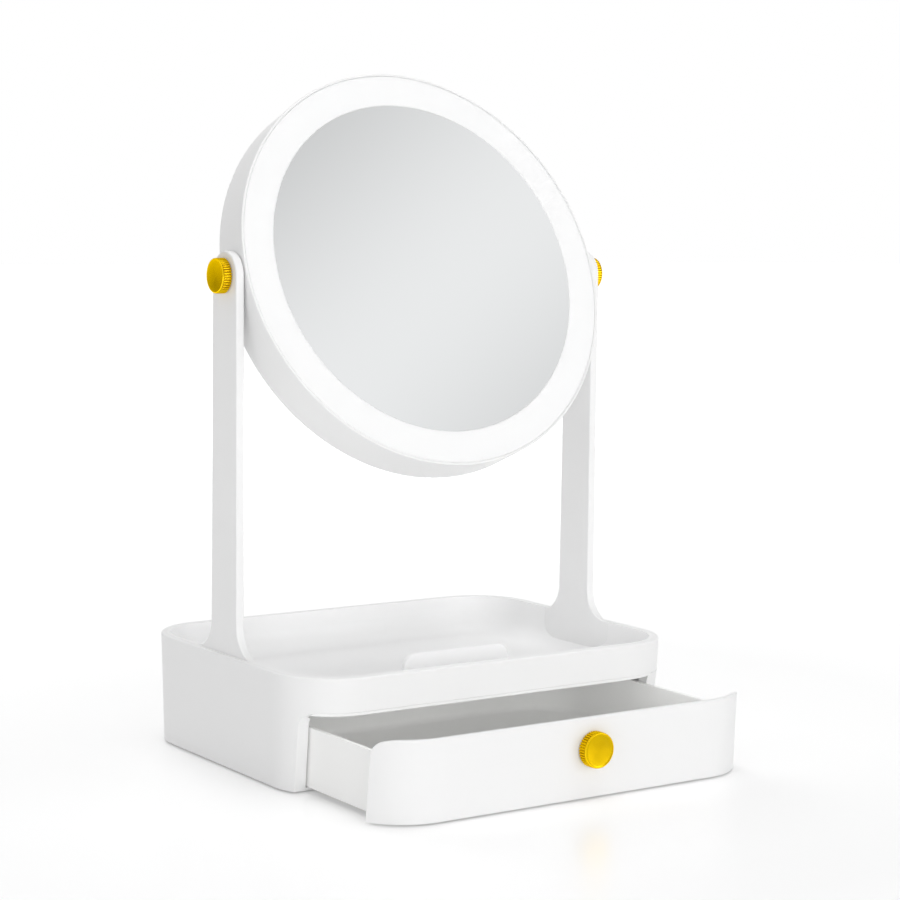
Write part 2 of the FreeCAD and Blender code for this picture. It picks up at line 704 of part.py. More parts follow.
def drawer_tub():
    body = new_body("drawer_tub")
    block = sketch_on(body, "XY_Plane", S.tub_bottom)
    round_box(block, tub_half, -tub_front, tub_back, S.tub_front_corner, S.tub_back_corner)
    pad(body, block, S.tub_top - S.tub_bottom)
    well = sketch_on(body, "XY_Plane", S.tub_top)
    wall = S.tub_wall
    round_box(well, tub_half - wall, -tub_front + wall, tub_back - wall,
              S.tub_front_corner - wall, S.tub_back_corner - wall)
    depth = S.tub_top - S.tub_bottom - S.tub_floor_thick
    pocket(body, well, depth)
    floor = S.tub_bottom + S.tub_floor_thick
    round_edges(body, S.tub_cove, lambda e: near(span(e).ZMin, floor) and near(
        span(e).ZMax, floor))
    tab = sketch_on(body, "XY_Plane", S.tub_top - 3)
    box_outline(tab, -S.stop_tab_half, S.stop_tab_half, tub_back - wall, tub_back)
    pad(body, tab, 3 + S.stop_gap + S.stop_overlap)
    holes = sketch_on(body, "XZ_Plane", tub_front + 1)
    for x in (-S.panel_screw_pitch / 2, S.panel_screw_pitch / 2):
        circle(holes, x, S.panel_screw_height, S.screw_clear)
    circle(holes, S.panel_pull_aside, S.panel_pull_height, S.stud_radius + S.pivot_fit)
    pocket(body, holes, wall + 2)
    in_drawer(body)
    return body


def drawer_front():
    """The drawer's face: the front of the base's own block, corners included, as a shell."""
    body = new_body("drawer_front")
    base_form(body, ZERO, bevel_at=S.panel_top)
    split_profile(body, S.panel_gap, S.panel_top, ahead=False)
    base_form(body, S.panel_wall, cut=True)
    seats = sketch_on(body, "XZ_Plane", tub_front)
    for x in (-S.panel_screw_pitch / 2, S.panel_screw_pitch / 2):
        circle(seats, x, S.panel_screw_height, S.panel_boss_radius)
    circle(seats, S.panel_pull_aside, S.panel_pull_height, S.panel_boss_radius + 2)
    pad(body, seats, S.panel_wall)
    pilots = sketch_on(body, "XZ_Plane", tub_front - 1)
    for x in (-S.panel_screw_pitch / 2, S.panel_screw_pitch / 2):
        circle(pilots, x, S.panel_screw_height, S.pilot_radius)
    pocket(body, pilots, S.panel_screw_length - S.tub_wall + 1.3, backwards=True)
    through = sketch_on(body, "XZ_Plane", tub_front - 1)
    circle(through, S.panel_pull_aside, S.panel_pull_height, S.stud_radius + S.pivot_fit)
    pocket(body, through, S.panel_wall + 6, backwards=True)
    in_drawer(body)
    return body


def drawer_parts():
    drawer_tub()
    drawer_front()
    pull = knob("drawer_knob")
    place(pull, S.panel_pull_aside, -(pull_y + 2 * S.knob_gap + S.drawer_open),
          S.panel_pull_height, axis=(1, 0, 0), angle=90.0)
    wall_in = -(tub_front - S.tub_wall + S.drawer_open)
    head = cylinder("knob_screw_head", S.stud_head_radius, S.stud_head_thick)
    bind(head, "Placement.Base.z", -S.stud_head_thick)
    reach = pull_y + S.knob_gap - tub_front + S.tub_wall + S.knob_bore_depth - 0.3
    shank = cylinder("knob_screw_shank", S.stud_radius, reach)
    knob_screw = fused("drawer_knob_screw", [head, shank])
    place(knob_screw, S.panel_pull_aside, wall_in, S.panel_pull_height, (1, 0, 0), 90.0)
    group("drawer_front_screws", [
        screw("panel_screw_%d" % n, x, wall_in, S.panel_screw_height, (1, 0, 0), 90.0,
              S.panel_screw_length)
        for n, x in enumerate((-S.panel_screw_pitch / 2, S.panel_screw_pitch / 2))])
    pads = []
    for x in (-tub_half + S.glide_inset, tub_half - S.glide_inset):
        for y in (tub_back - S.glide_inset, tub_back - S.glide_inset - S.glide_pitch):
            glide = cylinder("glide", S.glide_radius, S.glide_thick)
            place(glide, x, y - S.drawer_open, S.tub_bottom - S.glide_thick)
            pads.append(glide)
    group("drawer_glides", pads)


# ---------------------------------------------------------------- mirror head

def on_ring(count, radius, start=0.0):
    """Evenly spaced (x, z, degrees) places round the head's axis."""
    for index in range(int(count)):
        angle = start + 360.0 * index / int(count)
        turn_angle = math.radians(angle)
        yield radius * math.cos(turn_angle), radius * math.sin(turn_angle), angle


def head_housing():
    body = new_body("head_housing")
    half = sketch_on(body, "XY_Plane")
    radius, back, bend = head_radius, S.head_back, S.head_back_round
    outline(half, [
        (ZERO, plate_in), (head_inside, plate_in), (head_inside, ledge_y),
        (lip_inside, ledge_y), (lip_inside, front_face), (radius, front_face),
        (radius, back - bend, bend, "left"), (radius - bend, back), (ZERO, back)])
    turn(body, half)
    bay = sketch_on(body, "XZ_Plane", -plate_in - 0.5)
    wall = S.bay_wall
    box_outline(bay, -S.bay_width / 2 - wall, S.bay_width / 2 + wall, bay_low - wall,
                S.bay_top + wall)
    pad(body, bay, plate_in + 0.5 - bay_floor + S.bay_floor_wall)
    posts = sketch_on(body, "XZ_Plane", -plate_in - 0.5)
    pilots = sketch_on(body, "XZ_Plane", -carrier_back + 1)
    reach = head_post_ring * math.sqrt(0.5)
    for x in (-reach, reach):
        for z in (-reach, reach):
            circle(posts, x, z, S.head_post_radius)
            circle(pilots, x, z, S.pilot_radius)
    pad(body, posts, plate_in + 0.5 - carrier_back)
    pocket(body, pilots, S.screw_length + 1)
    shelf = sketch_on(body, "XZ_Plane", -plate_in - 0.5)
    for x in (-S.control_width / 2 + 4, S.control_width / 2 - 4):
        circle(shelf, x, S.button_height, S.control_post_radius)
    pad(body, shelf, plate_in + 0.5 - control_back)
    for side in (-1, 1):
        start = head_inside - S.stud_boss_depth
        boss = sketch_on(body, "YZ_Plane", start if side > 0 else -head_inside - 0.4)
        circle(boss, ZERO, ZERO, S.stud_boss_radius)
        pad(body, boss, S.stud_boss_depth + 0.4)
        eye = sketch_on(body, "YZ_Plane", start - 1 if side > 0 else -head_radius - 1)
        circle(eye, ZERO, ZERO, S.stud_radius + S.pivot_fit)
        pocket(body, eye, S.stud_boss_depth + S.head_wall + 2, backwards=True)
    well = sketch_on(body, "XZ_Plane", -S.head_back)
    box_outline(well, -S.bay_width / 2, S.bay_width / 2, bay_low, S.bay_top)
    pocket(body, well, S.head_back - bay_floor, backwards=True)
    recess = sketch_on(body, "XZ_Plane", -S.head_back)
    box_outline(recess, -cover_half, cover_half, bay_low - S.cover_ledge,
                S.bay_top + S.cover_ledge)
    pocket(body, recess, S.cover_thick, backwards=True)
    button = sketch_on(body, "XZ_Plane", -S.head_back - 1)
    circle(button, ZERO, S.button_height, S.button_radius + S.button_clear)
    pocket(body, button, S.head_wall + 2, backwards=True)
    edge = front_face.value
    round_edges(body, S.head_edge_round, lambda e: near(span(e).YMin, edge) and near(
        span(e).YMax, edge) and near(span(e).XMax, head_radius, 0.1))
    in_head(body)
    return body


def head_ring(name, steps):
    """A round piece of the mirror head: a half outline of (radius, depth) turned about Y."""
    body = new_body(name)
    half = sketch_on(body, "XY_Plane")
    outline(half, steps)
    turn(body, half)
    return body


def light_diffuser():
    inner, outer, skirt = light_inner, light_outer, S.light_skirt
    body = head_ring("light_diffuser", [
        (inner, board_front), (inner, front_face + S.light_round, S.light_round, "right"),
        (inner + S.light_round, front_face), (outer - S.light_round, front_face, S.light_round,
                                              "left"),
        (outer, front_face + S.light_round), (outer, ledge_y), (outer - skirt, ledge_y),
        (outer - skirt, light_back), (inner + skirt, light_back), (inner + skirt, board_front)])
    in_head(body)


def mirror_glass():
    radius, bevel = light_inner - S.glass_gap, S.glass_round
    body = head_ring("mirror_glass", [
        (ZERO, glass_front), (radius - bevel, glass_front), (radius, glass_front + bevel),
        (radius, glass_back), (ZERO, glass_back)])
    in_head(body)


def mirror_carrier():
    hub = light_inner - S.glass_gap - 0.3
    flange = led_ring + S.led_margin
    body = head_ring("mirror_carrier", [
        (ZERO, glass_back), (hub, glass_back), (hub, board_back), (flange, board_back),
        (flange, flange_back), (hub - S.carrier_thick, flange_back),
        (hub - S.carrier_thick, carrier_back), (ZERO, carrier_back)])
    holes = sketch_on(body, "XZ_Plane", -glass_back + 1)
    seats = sketch_on(body, "XZ_Plane", -glass_back + 1)
    reach = head_post_ring * math.sqrt(0.5)
    for x in (-reach, reach):
        for z in (-reach, reach):
            circle(holes, x, z, S.screw_clear)
            circle(seats, x, z, S.screw_head + 0.3)
    pocket(body, holes, S.carrier_thick + 3)
    pocket(body, seats, S.screw_head_thick + 1)
    in_head(body)


def led_board():
    body = head_ring("led_board", [
        (light_inner, board_front), (led_ring + S.led_margin, board_front),
        (led_ring + S.led_margin, board_back), (light_inner, board_back)])
    in_head(body)


def leds():
    members = []
    for x, z, angle in on_ring(S.led_count.value, led_ring.value):
        led = block("led", S.led_width, S.led_height, S.led_length)
        half = FreeCAD.Vector(S.led_width.value / 2, 0, S.led_length.value / 2)
        turned = FreeCAD.Rotation(FreeCAD.Vector(0, 1, 0), -angle)
        place_at = FreeCAD.Vector(x, board_front.value - S.led_height.value, z)
        led.Placement = FreeCAD.Placement(place_at - turned.multVec(half), turned)
        members.append(led)
    in_head(group("leds", members))


def head_screws():
    reach = head_post_ring * math.sqrt(0.5)
    seat = glass_back + S.screw_head_thick
    members = [screw("head_screw_%d" % n, x, seat, z, (1, 0, 0), -90.0)
               for n, (x, z) in enumerate([(a, b) for a in (-reach, reach)
                                           for b in (-reach, reach)])]
    in_head(group("head_screws", members))


def pivot_stud(name, side):
    """The threaded stud that carries the head: head inside the housing, shank through it."""
    body = new_body(name)
    half = sketch_on(body, "XY_Plane")
    seat = head_inside - S.stud_boss_depth
    end = upright_out + S.knob_gap + S.knob_bore_depth - 0.3
    outline(half, [
        (seat - S.stud_head_thick, ZERO), (end, ZERO), (end, S.stud_radius),
        (seat, S.stud_radius), (seat, S.stud_boss_radius - 0.6),
        (seat - S.stud_head_thick, S.stud_boss_radius - 0.6)])
    turn(body, half, axis="H_Axis")
    place(body, z=S.pivot_height, angle=0.0 if side > 0 else 180.0)
    return body


def power_parts():
    cells, springs = [], []
    count = 4
    first = -S.cell_pitch * (count - 1) / 2
    low = bay_low + (S.bay_height - S.cell_length) / 2
    for n in range(count):
        up = n % 2 == 0
        can = cylinder("can", S.cell_radius, S.cell_length - 1)
        bind(can, "Placement.Base.z", ZERO if up else 1)
        nub = cylinder("nub", S.cell_radius * 0.38, S.cell_length)
        cell = fused("cell_%d" % n, [can, nub])
        if not up:
            bind(nub, "Placement.Base.z", ZERO)
        place(cell, first + n * S.cell_pitch, cell_y, low)
        cells.append(cell)
        spring = doc.addObject("Part::Cone", "spring")
        bind(spring, "Radius1", S.cell_radius * 0.6)
        bind(spring, "Radius2", S.cell_radius * 0.35)
        rise = (S.bay_height - S.cell_length) / 2 - S.contact_thick
        bind(spring, "Height", rise)
        wall_z = bay_low + S.contact_thick if up else S.bay_top - S.contact_thick
        place(spring, first + n * S.cell_pitch, cell_y, wall_z, (1, 0, 0), 0.0 if up else 180.0)
        springs.append(spring)
    in_head(group("batteries", cells))
    for z in (bay_low, S.bay_top - S.contact_thick):
        plate = block("contact_plate", S.bay_width - 1, 2 * S.cell_radius - 2, S.contact_thick)
        place(plate, -S.bay_width / 2 + 0.5, cell_y - S.cell_radius + 1, z)
        springs.append(plate)
    in_head(group("battery_contacts", springs))
    body = new_body("battery_cover")
    panel = sketch_on(body, "XZ_Plane", -S.head_back)
    gap, edge = S.cover_gap, cover_half
    low_z, high_z = bay_low - S.cover_ledge + gap, S.bay_top + S.cover_ledge - gap
    box_outline(panel, -edge + gap, edge - gap, low_z, high_z)
    pad(body, panel, S.cover_thick - 0.1)
    round_edges(body, (S.cover_thick - 0.1) / 2 - 0.01, lambda e: near(span(e).ZMin, low_z)
                and near(span(e).ZMax, low_z) and span(e).XLength > S.bay_width.value)
    grip = sketch_on(body, "XZ_Plane", -S.head_back)
    for row in range(3):
        level = high_z - 6 - 3 * row
        box_outline(grip, -S.bay_width / 5, S.bay_width / 5, level, level + 1.2)
    pocket(body, grip, S.cover_thick / 3, backwards=True)
    in_head(body)


def switch_parts():
    board = block("board_plate", S.control_width, S.board_thick, S.control_height)
    place(board, -S.control_width / 2, control_back - S.board_thick,
          S.button_height - S.control_height / 2)
    in_head(group("control_board", [board]))
    body = new_body("power_switch")
    face = sketch_on(body, "XZ_Plane", -control_back)
    side = S.switch_side / 2
    box_outline(face, -side, side, S.button_height - side, S.button_height + side)
    pad(body, face, S.switch_body, backwards=True)
    bore = sketch_on(body, "XZ_Plane", -control_back - S.switch_body)
    circle(bore, ZERO, S.button_height, S.plunger_radius + 0.2)
    pocket(body, bore, S.switch_body - 1, backwards=True)
    in_head(body)
    cap = new_body("power_button")
    flange = sketch_on(cap, "XZ_Plane", -plate_in + S.button_slack)
    circle(flange, ZERO, S.button_height, S.button_radius + 1.3)
    pad(cap, flange, S.button_flange)
    crown = sketch_on(cap, "XZ_Plane", -plate_in + S.button_slack + 0.1)
    circle(crown, ZERO, S.button_height, S.button_radius)
    pad(cap, crown, S.head_wall + S.button_proud + S.button_slack + 0.1, backwards=True)
    stem = sketch_on(cap, "XZ_Plane", -plate_in + S.button_slack + S.button_flange - 0.1)
    circle(stem, ZERO, S.button_height, S.plunger_radius)
    pad(cap, stem, S.button_lift + 0.1)
    in_head(cap)
    wires = []
    for x in (-S.control_width / 5, S.control_width / 5):
        low = S.bay_top + S.bay_wall
        wire = cylinder("wire", S.lead_radius, S.button_height - S.control_height / 2 - low)
        place(wire, x, control_back - S.board_thick / 2, low)
        wires.append(wire)
    in_head(group("battery_leads", wires))
    pins = []
    for x in (-S.control_width / 5, S.control_width / 5):
        pin_wire = cylinder("pin_wire", S.lead_radius,
                            control_back - S.board_thick - carrier_back)
        place(pin_wire, x, carrier_back, S.button_height + S.control_height / 4, (1, 0, 0), -90.0)
        pins.append(pin_wire)
    in_head(group("light_leads", pins))


def build():
    base_housing()
    base_floor()
    rubber_feet()
    screws_from_below("floor_screws", floor_screw_spots())
    screws_from_below("upright_screws", upright_screw_spots())
    tray()
    for side, word in ((-1, "left"), (1, "right")):
        upright(word + "_upright", side)
        pivot_bush(word + "_pivot_bush", side)
        pivot_stud(word + "_pivot_stud", side)
        pivot_knob(word + "_pivot_knob", side)
    drawer_parts()
    head_housing()
    light_diffuser()
    mirror_glass()
    mirror_carrier()
    led_board()
    leds()
    head_screws()
    power_parts()
    switch_parts()


NODES = (
    "base_housing", "base_floor", "rubber_feet", "floor_screws", "upright_screws", "tray",
    "left_upright", "right_upright", "left_pivot_bush", "right_pivot_bush",
    "left_pivot_stud", "right_pivot_stud", "left_pivot_knob", "right_pivot_knob",
    "drawer_tub", "drawer_front", "drawer_knob", "drawer_knob_screw", "drawer_front_screws",
    "drawer_glides", "head_housing", "light_diffuser", "mirror_glass", "mirror_carrier",
    "led_board", "leds", "head_screws", "batteries", "battery_contacts", "battery_cover",
    "control_board", "power_switch", "power_button", "battery_leads", "light_leads",
)


def check_and_write():
    """Stop at anything that failed; then write one STEP file for each node."""
    doc.recompute()
    failed = [thing.Name for thing in doc.Objects
              if "Invalid" in thing.State or "Error" in thing.State]
    if failed:
        raise RuntimeError("failed objects: %s" % ", ".join(failed))
    pieces = {}
    for node in NODES:
        found = [thing for thing in doc.Objects if thing.Label == node]
        shape = found[0].Shape if len(found) == 1 else None
        if shape is None or shape.isNull() or not shape.isValid() or not shape.Solids:
            raise RuntimeError("bad piece: %s" % node)
        pieces[node] = shape
    os.makedirs("parts", exist_ok=True)
    for node, shape in pieces.items():
        shape.exportStep("parts/%s.step" % node)
        print("%-22s solids %d  volume %9.1f  box %s" % (
            node, len(shape.Solids), shape.Volume,
            " ".join("%.1f" % v for v in (
                shape.BoundBox.XMin, shape.BoundBox.YMin, shape.BoundBox.ZMin,
                shape.BoundBox.XMax, shape.BoundBox.YMax, shape.BoundBox.ZMax))))


build()
check_and_write()
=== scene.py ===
"""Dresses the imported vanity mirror: finishes, knurled knobs, screws, studio light and camera."""

import enum
import logging
import math
from dataclasses import dataclass, field
from typing import Callable, ClassVar

import bmesh
import bpy
from mathutils import Matrix, Vector


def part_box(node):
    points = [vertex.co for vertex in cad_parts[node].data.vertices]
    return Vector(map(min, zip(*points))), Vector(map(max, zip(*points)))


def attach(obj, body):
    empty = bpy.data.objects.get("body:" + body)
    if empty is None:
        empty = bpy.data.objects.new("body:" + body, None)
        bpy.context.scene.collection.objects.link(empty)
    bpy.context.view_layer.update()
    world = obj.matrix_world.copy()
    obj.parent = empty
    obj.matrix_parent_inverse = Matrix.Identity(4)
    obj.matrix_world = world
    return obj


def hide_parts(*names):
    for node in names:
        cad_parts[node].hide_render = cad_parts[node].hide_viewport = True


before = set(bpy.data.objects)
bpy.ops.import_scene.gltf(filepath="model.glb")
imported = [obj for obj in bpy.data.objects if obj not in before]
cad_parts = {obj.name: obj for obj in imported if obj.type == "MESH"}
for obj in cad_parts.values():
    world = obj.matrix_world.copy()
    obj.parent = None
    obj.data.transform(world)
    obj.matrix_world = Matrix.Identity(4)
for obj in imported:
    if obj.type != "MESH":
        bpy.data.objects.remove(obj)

LOG = logging.getLogger("vanity_mirror")
MM = 0.001
UM = 0.000001
TURNED = "turned"
PAINTED_SHADE_ATTRIBUTE = "painted_shade"
PIVOT_HEIGHT = 235.5 * MM
REST_TILT = math.radians(21.65)
LATHE_STEPS = 96
RIDGE_SIDES = 10
SCREW_SIDES = 32
ON_AXIS = 0.1 * UM
WELD = 1.0 * UM
SAME_SPOT = 2.0 * UM

Colour = tuple[float, float, float]
Range = tuple[float, float]


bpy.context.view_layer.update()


# ------------------------------------------------------------------ node helpers

class NodeTree:
    """A node tree under construction, with short ways to add and join nodes."""

    prefix: ClassVar[str] = ""

    def __init__(self, tree: bpy.types.NodeTree) -> None:
        """Start with an empty tree.

        Args:
            tree: the tree to fill.
        """
        self.tree = tree
        self.tree.nodes.clear()

    def add(self, kind: str, **settings: object) -> bpy.types.Node:
        """Add one node and set its properties.

        Args:
            kind: the node's type name, without the prefix of this kind of tree.
            settings: property names and values.

        Returns:
            The new node.
        """
        node = self.tree.nodes.new(self.prefix + kind)
        for key, value in settings.items():
            setattr(node, key, value)
        return node

    def join(self, source: bpy.types.NodeSocket, target: bpy.types.NodeSocket) -> None:
        """Link two sockets."""
        self.tree.links.new(source, target)


class ShaderTree(NodeTree):
    """The node tree of a material or of the world."""

    prefix: ClassVar[str] = "ShaderNode"

    def mix(self) -> tuple[bpy.types.NodeSocket, ...]:
        """Add a node that mixes two colours.

        Returns:
            Its factor, first colour, second colour and result sockets.
        """
        node = self.add("Mix", data_type="RGBA")
        first, second = (socket for socket in node.inputs if socket.type == "RGBA")
        result, = (socket for socket in node.outputs if socket.type == "RGBA")
        return node.inputs["Factor"], first, second, result

    def seen_or_mirrored(self) -> bpy.types.NodeSocket:
        """A socket that is 1 for what the eye sees straight or in a reflection, and else 0."""
        path = self.add("LightPath")
        either = self.add("Math", operation="MAXIMUM")
        self.join(path.outputs["Is Camera Ray"], either.inputs[0])
        self.join(path.outputs["Is Glossy Ray"], either.inputs[1])
        return either.outputs["Value"]


class Shader(ShaderTree):
    """A material under construction."""

    def __init__(self, name: str) -> None:
        """Start an empty node material.

        Args:
            name: the finish's name.
        """
        self.material = bpy.data.materials.new(name)
        self.material.use_nodes = True
        super().__init__(self.material.node_tree)
        self.output = self.add("OutputMaterial")

    def noise(self, scale: float, detail: float) -> bpy.types.NodeSocket:
        """A noise pattern on Object coordinates.

        Args:
            scale: waves per metre.
            detail: octaves.

        Returns:
            The noise's factor socket.
        """
        place = self.add("TexCoord")
        texture = self.add("TexNoise")
        texture.inputs["Scale"].default_value = scale
        texture.inputs["Detail"].default_value = detail
        self.join(place.outputs["Object"], texture.inputs["Vector"])
        return texture.outputs["Fac"]

    def spread(self, factor: bpy.types.NodeSocket, low: float, high: float
               ) -> bpy.types.NodeSocket:
        """Map a 0 to 1 pattern to a range of numbers.

        Args:
            factor: the pattern.
            low: value at 0.
            high: value at 1.

        Returns:
            The mapped value's socket.
        """
        node = self.add("MapRange")
        node.inputs["To Min"].default_value = low
        node.inputs["To Max"].default_value = high
        self.join(factor, node.inputs["Value"])
        return node.outputs["Result"]

    def blend(self, factor: bpy.types.NodeSocket, first: Colour, second: Colour
              ) -> bpy.types.NodeSocket:
        """Mix two colours by a pattern.

        Args:
            factor: the pattern.
            first: colour at 0.
            second: colour at 1.

        Returns:
            The colour socket.
        """
        share, start, end, result = self.mix()
        start.default_value = (*first, 1.0)
        end.default_value = (*second, 1.0)
        self.join(factor, share)
        return result

    def bump(self, height: bpy.types.NodeSocket, strength: float, distance: float
             ) -> bpy.types.NodeSocket:
        """Turn a pattern into a bumped normal.

        Args:
            height: the pattern.
            strength: 0 to 1.
            distance: height of the bumps in metres.

        Returns:
            The normal socket.
        """
        node = self.add("Bump")
        node.inputs["Strength"].default_value = strength
        node.inputs["Distance"].default_value = distance
        self.join(height, node.inputs["Height"])
        return node.outputs["Normal"]

    def vary(self, surface: bpy.types.Node, socket: str, scale: float, detail: float,
             ends: Range) -> None:
        """Let a number wander over the surface between two ends.

        Args:
            surface: the shader node.
            socket: the name of its socket.
            scale: waves of the pattern per metre.
            detail: octaves of the pattern.
            ends: the numbers where the pattern is 0 and 1.
        """
        self.join(self.spread(self.noise(scale, detail), *ends), surface.inputs[socket])

    def surface(self, **values: object) -> bpy.types.Node:
        """Add the Principled shader that the material shows.

        Args:
            values: socket names, with spaces as underscores, and plain values.

        Returns:
            The shader node.
        """
        node = self.add("BsdfPrincipled")
        for key, value in values.items():
            node.inputs[key.replace("_", " ")].default_value = value
        self.join(node.outputs["BSDF"], self.output.inputs["Surface"])
        return node


# ------------------------------------------------------------------ finishes

@dataclass(frozen=True)
class SatinPlastic:
    """Injection-moulded plastic with a faint grain and uneven sheen, and an optional painted glow.
    """

    name: str
    low: Colour
    high: Colour
    roughness: Range = (0.30, 0.38)
    grain: float = 0.03
    grain_height: float = 20.0 * UM
    painted_glow: float = 0.0
    painted_glow_colour: Colour = (1.0, 1.0, 0.97)

    def make(self) -> bpy.types.Material:
        """Build the material."""
        shader = Shader(self.name)
        # The emission is a painted glow that lifts a shaded piece; the plastic is no lamp
        surface = shader.surface(IOR=1.5, Emission_Color=(*self.painted_glow_colour, 1.0),
                                 Emission_Strength=self.painted_glow)
        shader.join(shader.blend(shader.noise(scale=9.0, detail=3.0), self.low, self.high),
                    surface.inputs["Base Color"])
        shader.vary(surface, "Roughness", scale=26.0, detail=4.0, ends=self.roughness)
        grain = shader.noise(scale=2600.0, detail=2.0)
        shader.join(shader.bump(grain, self.grain, self.grain_height), surface.inputs["Normal"])
        return shader.material


@dataclass(frozen=True)
class Brass:
    """Yellow brass, turned on a lathe: its fine rings run round the piece's own axis."""

    name: str
    # deep is a painted-shade copy of bright, used for the knobs' grooves and dished faces
    bright: Colour = (0.95, 0.63, 0.010)
    deep: Colour = (0.40, 0.25, 0.001)
    glance: Colour = (1.0, 0.80, 0.20)
    roughness: Range = (0.20, 0.28)
    pitch: float = 0.35 * MM
    ring: float = 0.10
    ring_height: float = 6.0 * UM

    def make(self) -> bpy.types.Material:
        """Build the material."""
        shader = Shader(self.name)
        surface = shader.surface(Metallic=1.0, Anisotropic=0.7,
                                 Specular_Tint=(*self.glance, 1.0))
        # Base colour runs from deep to bright by the knob's stored painted shade: painted shade in
        # the grooves, a painted dark reflection in the dish
        painted_shade = shader.add("Attribute", attribute_name=PAINTED_SHADE_ATTRIBUTE)
        shader.join(shader.blend(painted_shade.outputs["Fac"], self.deep, self.bright),
                    surface.inputs["Base Color"])
        shader.vary(surface, "Roughness", scale=420.0, detail=2.0, ends=self.roughness)
        turned = shader.add("UVMap", uv_map=TURNED)
        apart = shader.add("SeparateXYZ")
        shader.join(turned.outputs["UV"], apart.inputs["Vector"])
        rings = shader.add("Math", operation="MULTIPLY")
        rings.inputs[1].default_value = 2 * math.pi / self.pitch
        shader.join(apart.outputs["Y"], rings.inputs[0])
        wave = shader.add("Math", operation="SINE")
        shader.join(rings.outputs["Value"], wave.inputs[0])
        shader.join(shader.bump(wave.outputs["Value"], self.ring, self.ring_height),
                    surface.inputs["Normal"])
        around = shader.add("Tangent", direction_type="UV_MAP", uv_map=TURNED)
        shader.join(around.outputs["Tangent"], surface.inputs["Tangent"])
        return shader.material


@dataclass(frozen=True)
class OpalAcrylic:
    """Milky acrylic that lets light wander under its surface, with a faint painted glow."""

    name: str
    cool: Colour = (0.955, 0.96, 0.965)
    warm: Colour = (0.975, 0.975, 0.975)
    roughness: Range = (0.40, 0.46)
    milk: float = 0.35
    depth: float = 4.0 * MM
    # glow is a painted glow: faint emission that brightens the ring's white
    glow: float = 0.03

    def make(self) -> bpy.types.Material:
        """Build the material."""
        shader = Shader(self.name)
        surface = shader.surface(IOR=1.49, Specular_IOR_Level=0.3, Subsurface_Weight=self.milk,
                                 Subsurface_Radius=(self.depth, self.depth, self.depth),
                                 Subsurface_Scale=1.0, Emission_Color=(1.0, 1.0, 1.0, 1.0),
                                 Emission_Strength=self.glow)
        shader.join(shader.blend(shader.noise(scale=14.0, detail=2.0), self.cool, self.warm),
                    surface.inputs["Base Color"])
        shader.vary(surface, "Roughness", scale=40.0, detail=3.0, ends=self.roughness)
        return shader.material


@dataclass(frozen=True)
class SilveredGlass:
    """The looking glass: a clear reflection with the faint tint of float glass."""

    name: str
    tint: Colour = (0.93, 0.945, 0.95)
    clear: Colour = (0.94, 0.95, 0.955)
    roughness: Range = (0.0, 0.02)

    def make(self) -> bpy.types.Material:
        """Build the material."""
        shader = Shader(self.name)
        surface = shader.surface(Metallic=1.0)
        shader.join(shader.blend(shader.noise(scale=7.0, detail=1.0), self.tint, self.clear),
                    surface.inputs["Base Color"])
        shader.vary(surface, "Roughness", scale=60.0, detail=4.0, ends=self.roughness)
        return shader.material


@dataclass(frozen=True)
class PlainPart:
    """A hidden or small part: one base colour with light mottling."""

    name: str
    colour: Colour
    roughness: float = 0.5
    metallic: float = 0.0
    shade: float = 0.86
    unevenness: float = 0.15
    grain: float = 0.1
    grain_height: float = 30.0 * UM

    def make(self) -> bpy.types.Material:
        """Build the material."""
        shader = Shader(self.name)
        surface = shader.surface(Metallic=self.metallic)
        darker = tuple(self.shade * part for part in self.colour)
        shader.join(shader.blend(shader.noise(scale=220.0, detail=4.0), darker, self.colour),
                    surface.inputs["Base Color"])
        shader.vary(surface, "Roughness", scale=700.0, detail=3.0,
                    ends=((1.0 - self.unevenness) * self.roughness,
                          (1.0 + self.unevenness) * self.roughness))
        grain = shader.noise(scale=1800.0, detail=2.0)
        shader.join(shader.bump(grain, self.grain, self.grain_height), surface.inputs["Normal"])
        return shader.material


@dataclass(frozen=True)
class CellWrap:
    """The printed-foil wrap of a small round cell: dark, with a copper band at one end."""

    name: str
    dark: Colour = (0.035, 0.038, 0.045)
    copper: Colour = (0.62, 0.30, 0.10)
    roughness: Range = (0.25, 0.34)
    lengthwise: tuple[float, float, float] = (0.0, math.sin(REST_TILT), math.cos(REST_TILT))
    band_from: float = 189.0 * MM

    def make(self) -> bpy.types.Material:
        """Build the material."""
        shader = Shader(self.name)
        surface = shader.surface(Metallic=0.55)
        place = shader.add("TexCoord")
        along = shader.add("VectorMath", operation="DOT_PRODUCT")
        along.inputs[1].default_value = self.lengthwise
        shader.join(place.outputs["Object"], along.inputs[0])
        beyond = shader.add("Math", operation="GREATER_THAN")
        beyond.inputs[1].default_value = self.band_from
        shader.join(along.outputs["Value"], beyond.inputs[0])
        shader.join(shader.blend(beyond.outputs["Value"], self.dark, self.copper),
                    surface.inputs["Base Color"])
        shader.vary(surface, "Roughness", scale=300.0, detail=3.0, ends=self.roughness)
        return shader.material


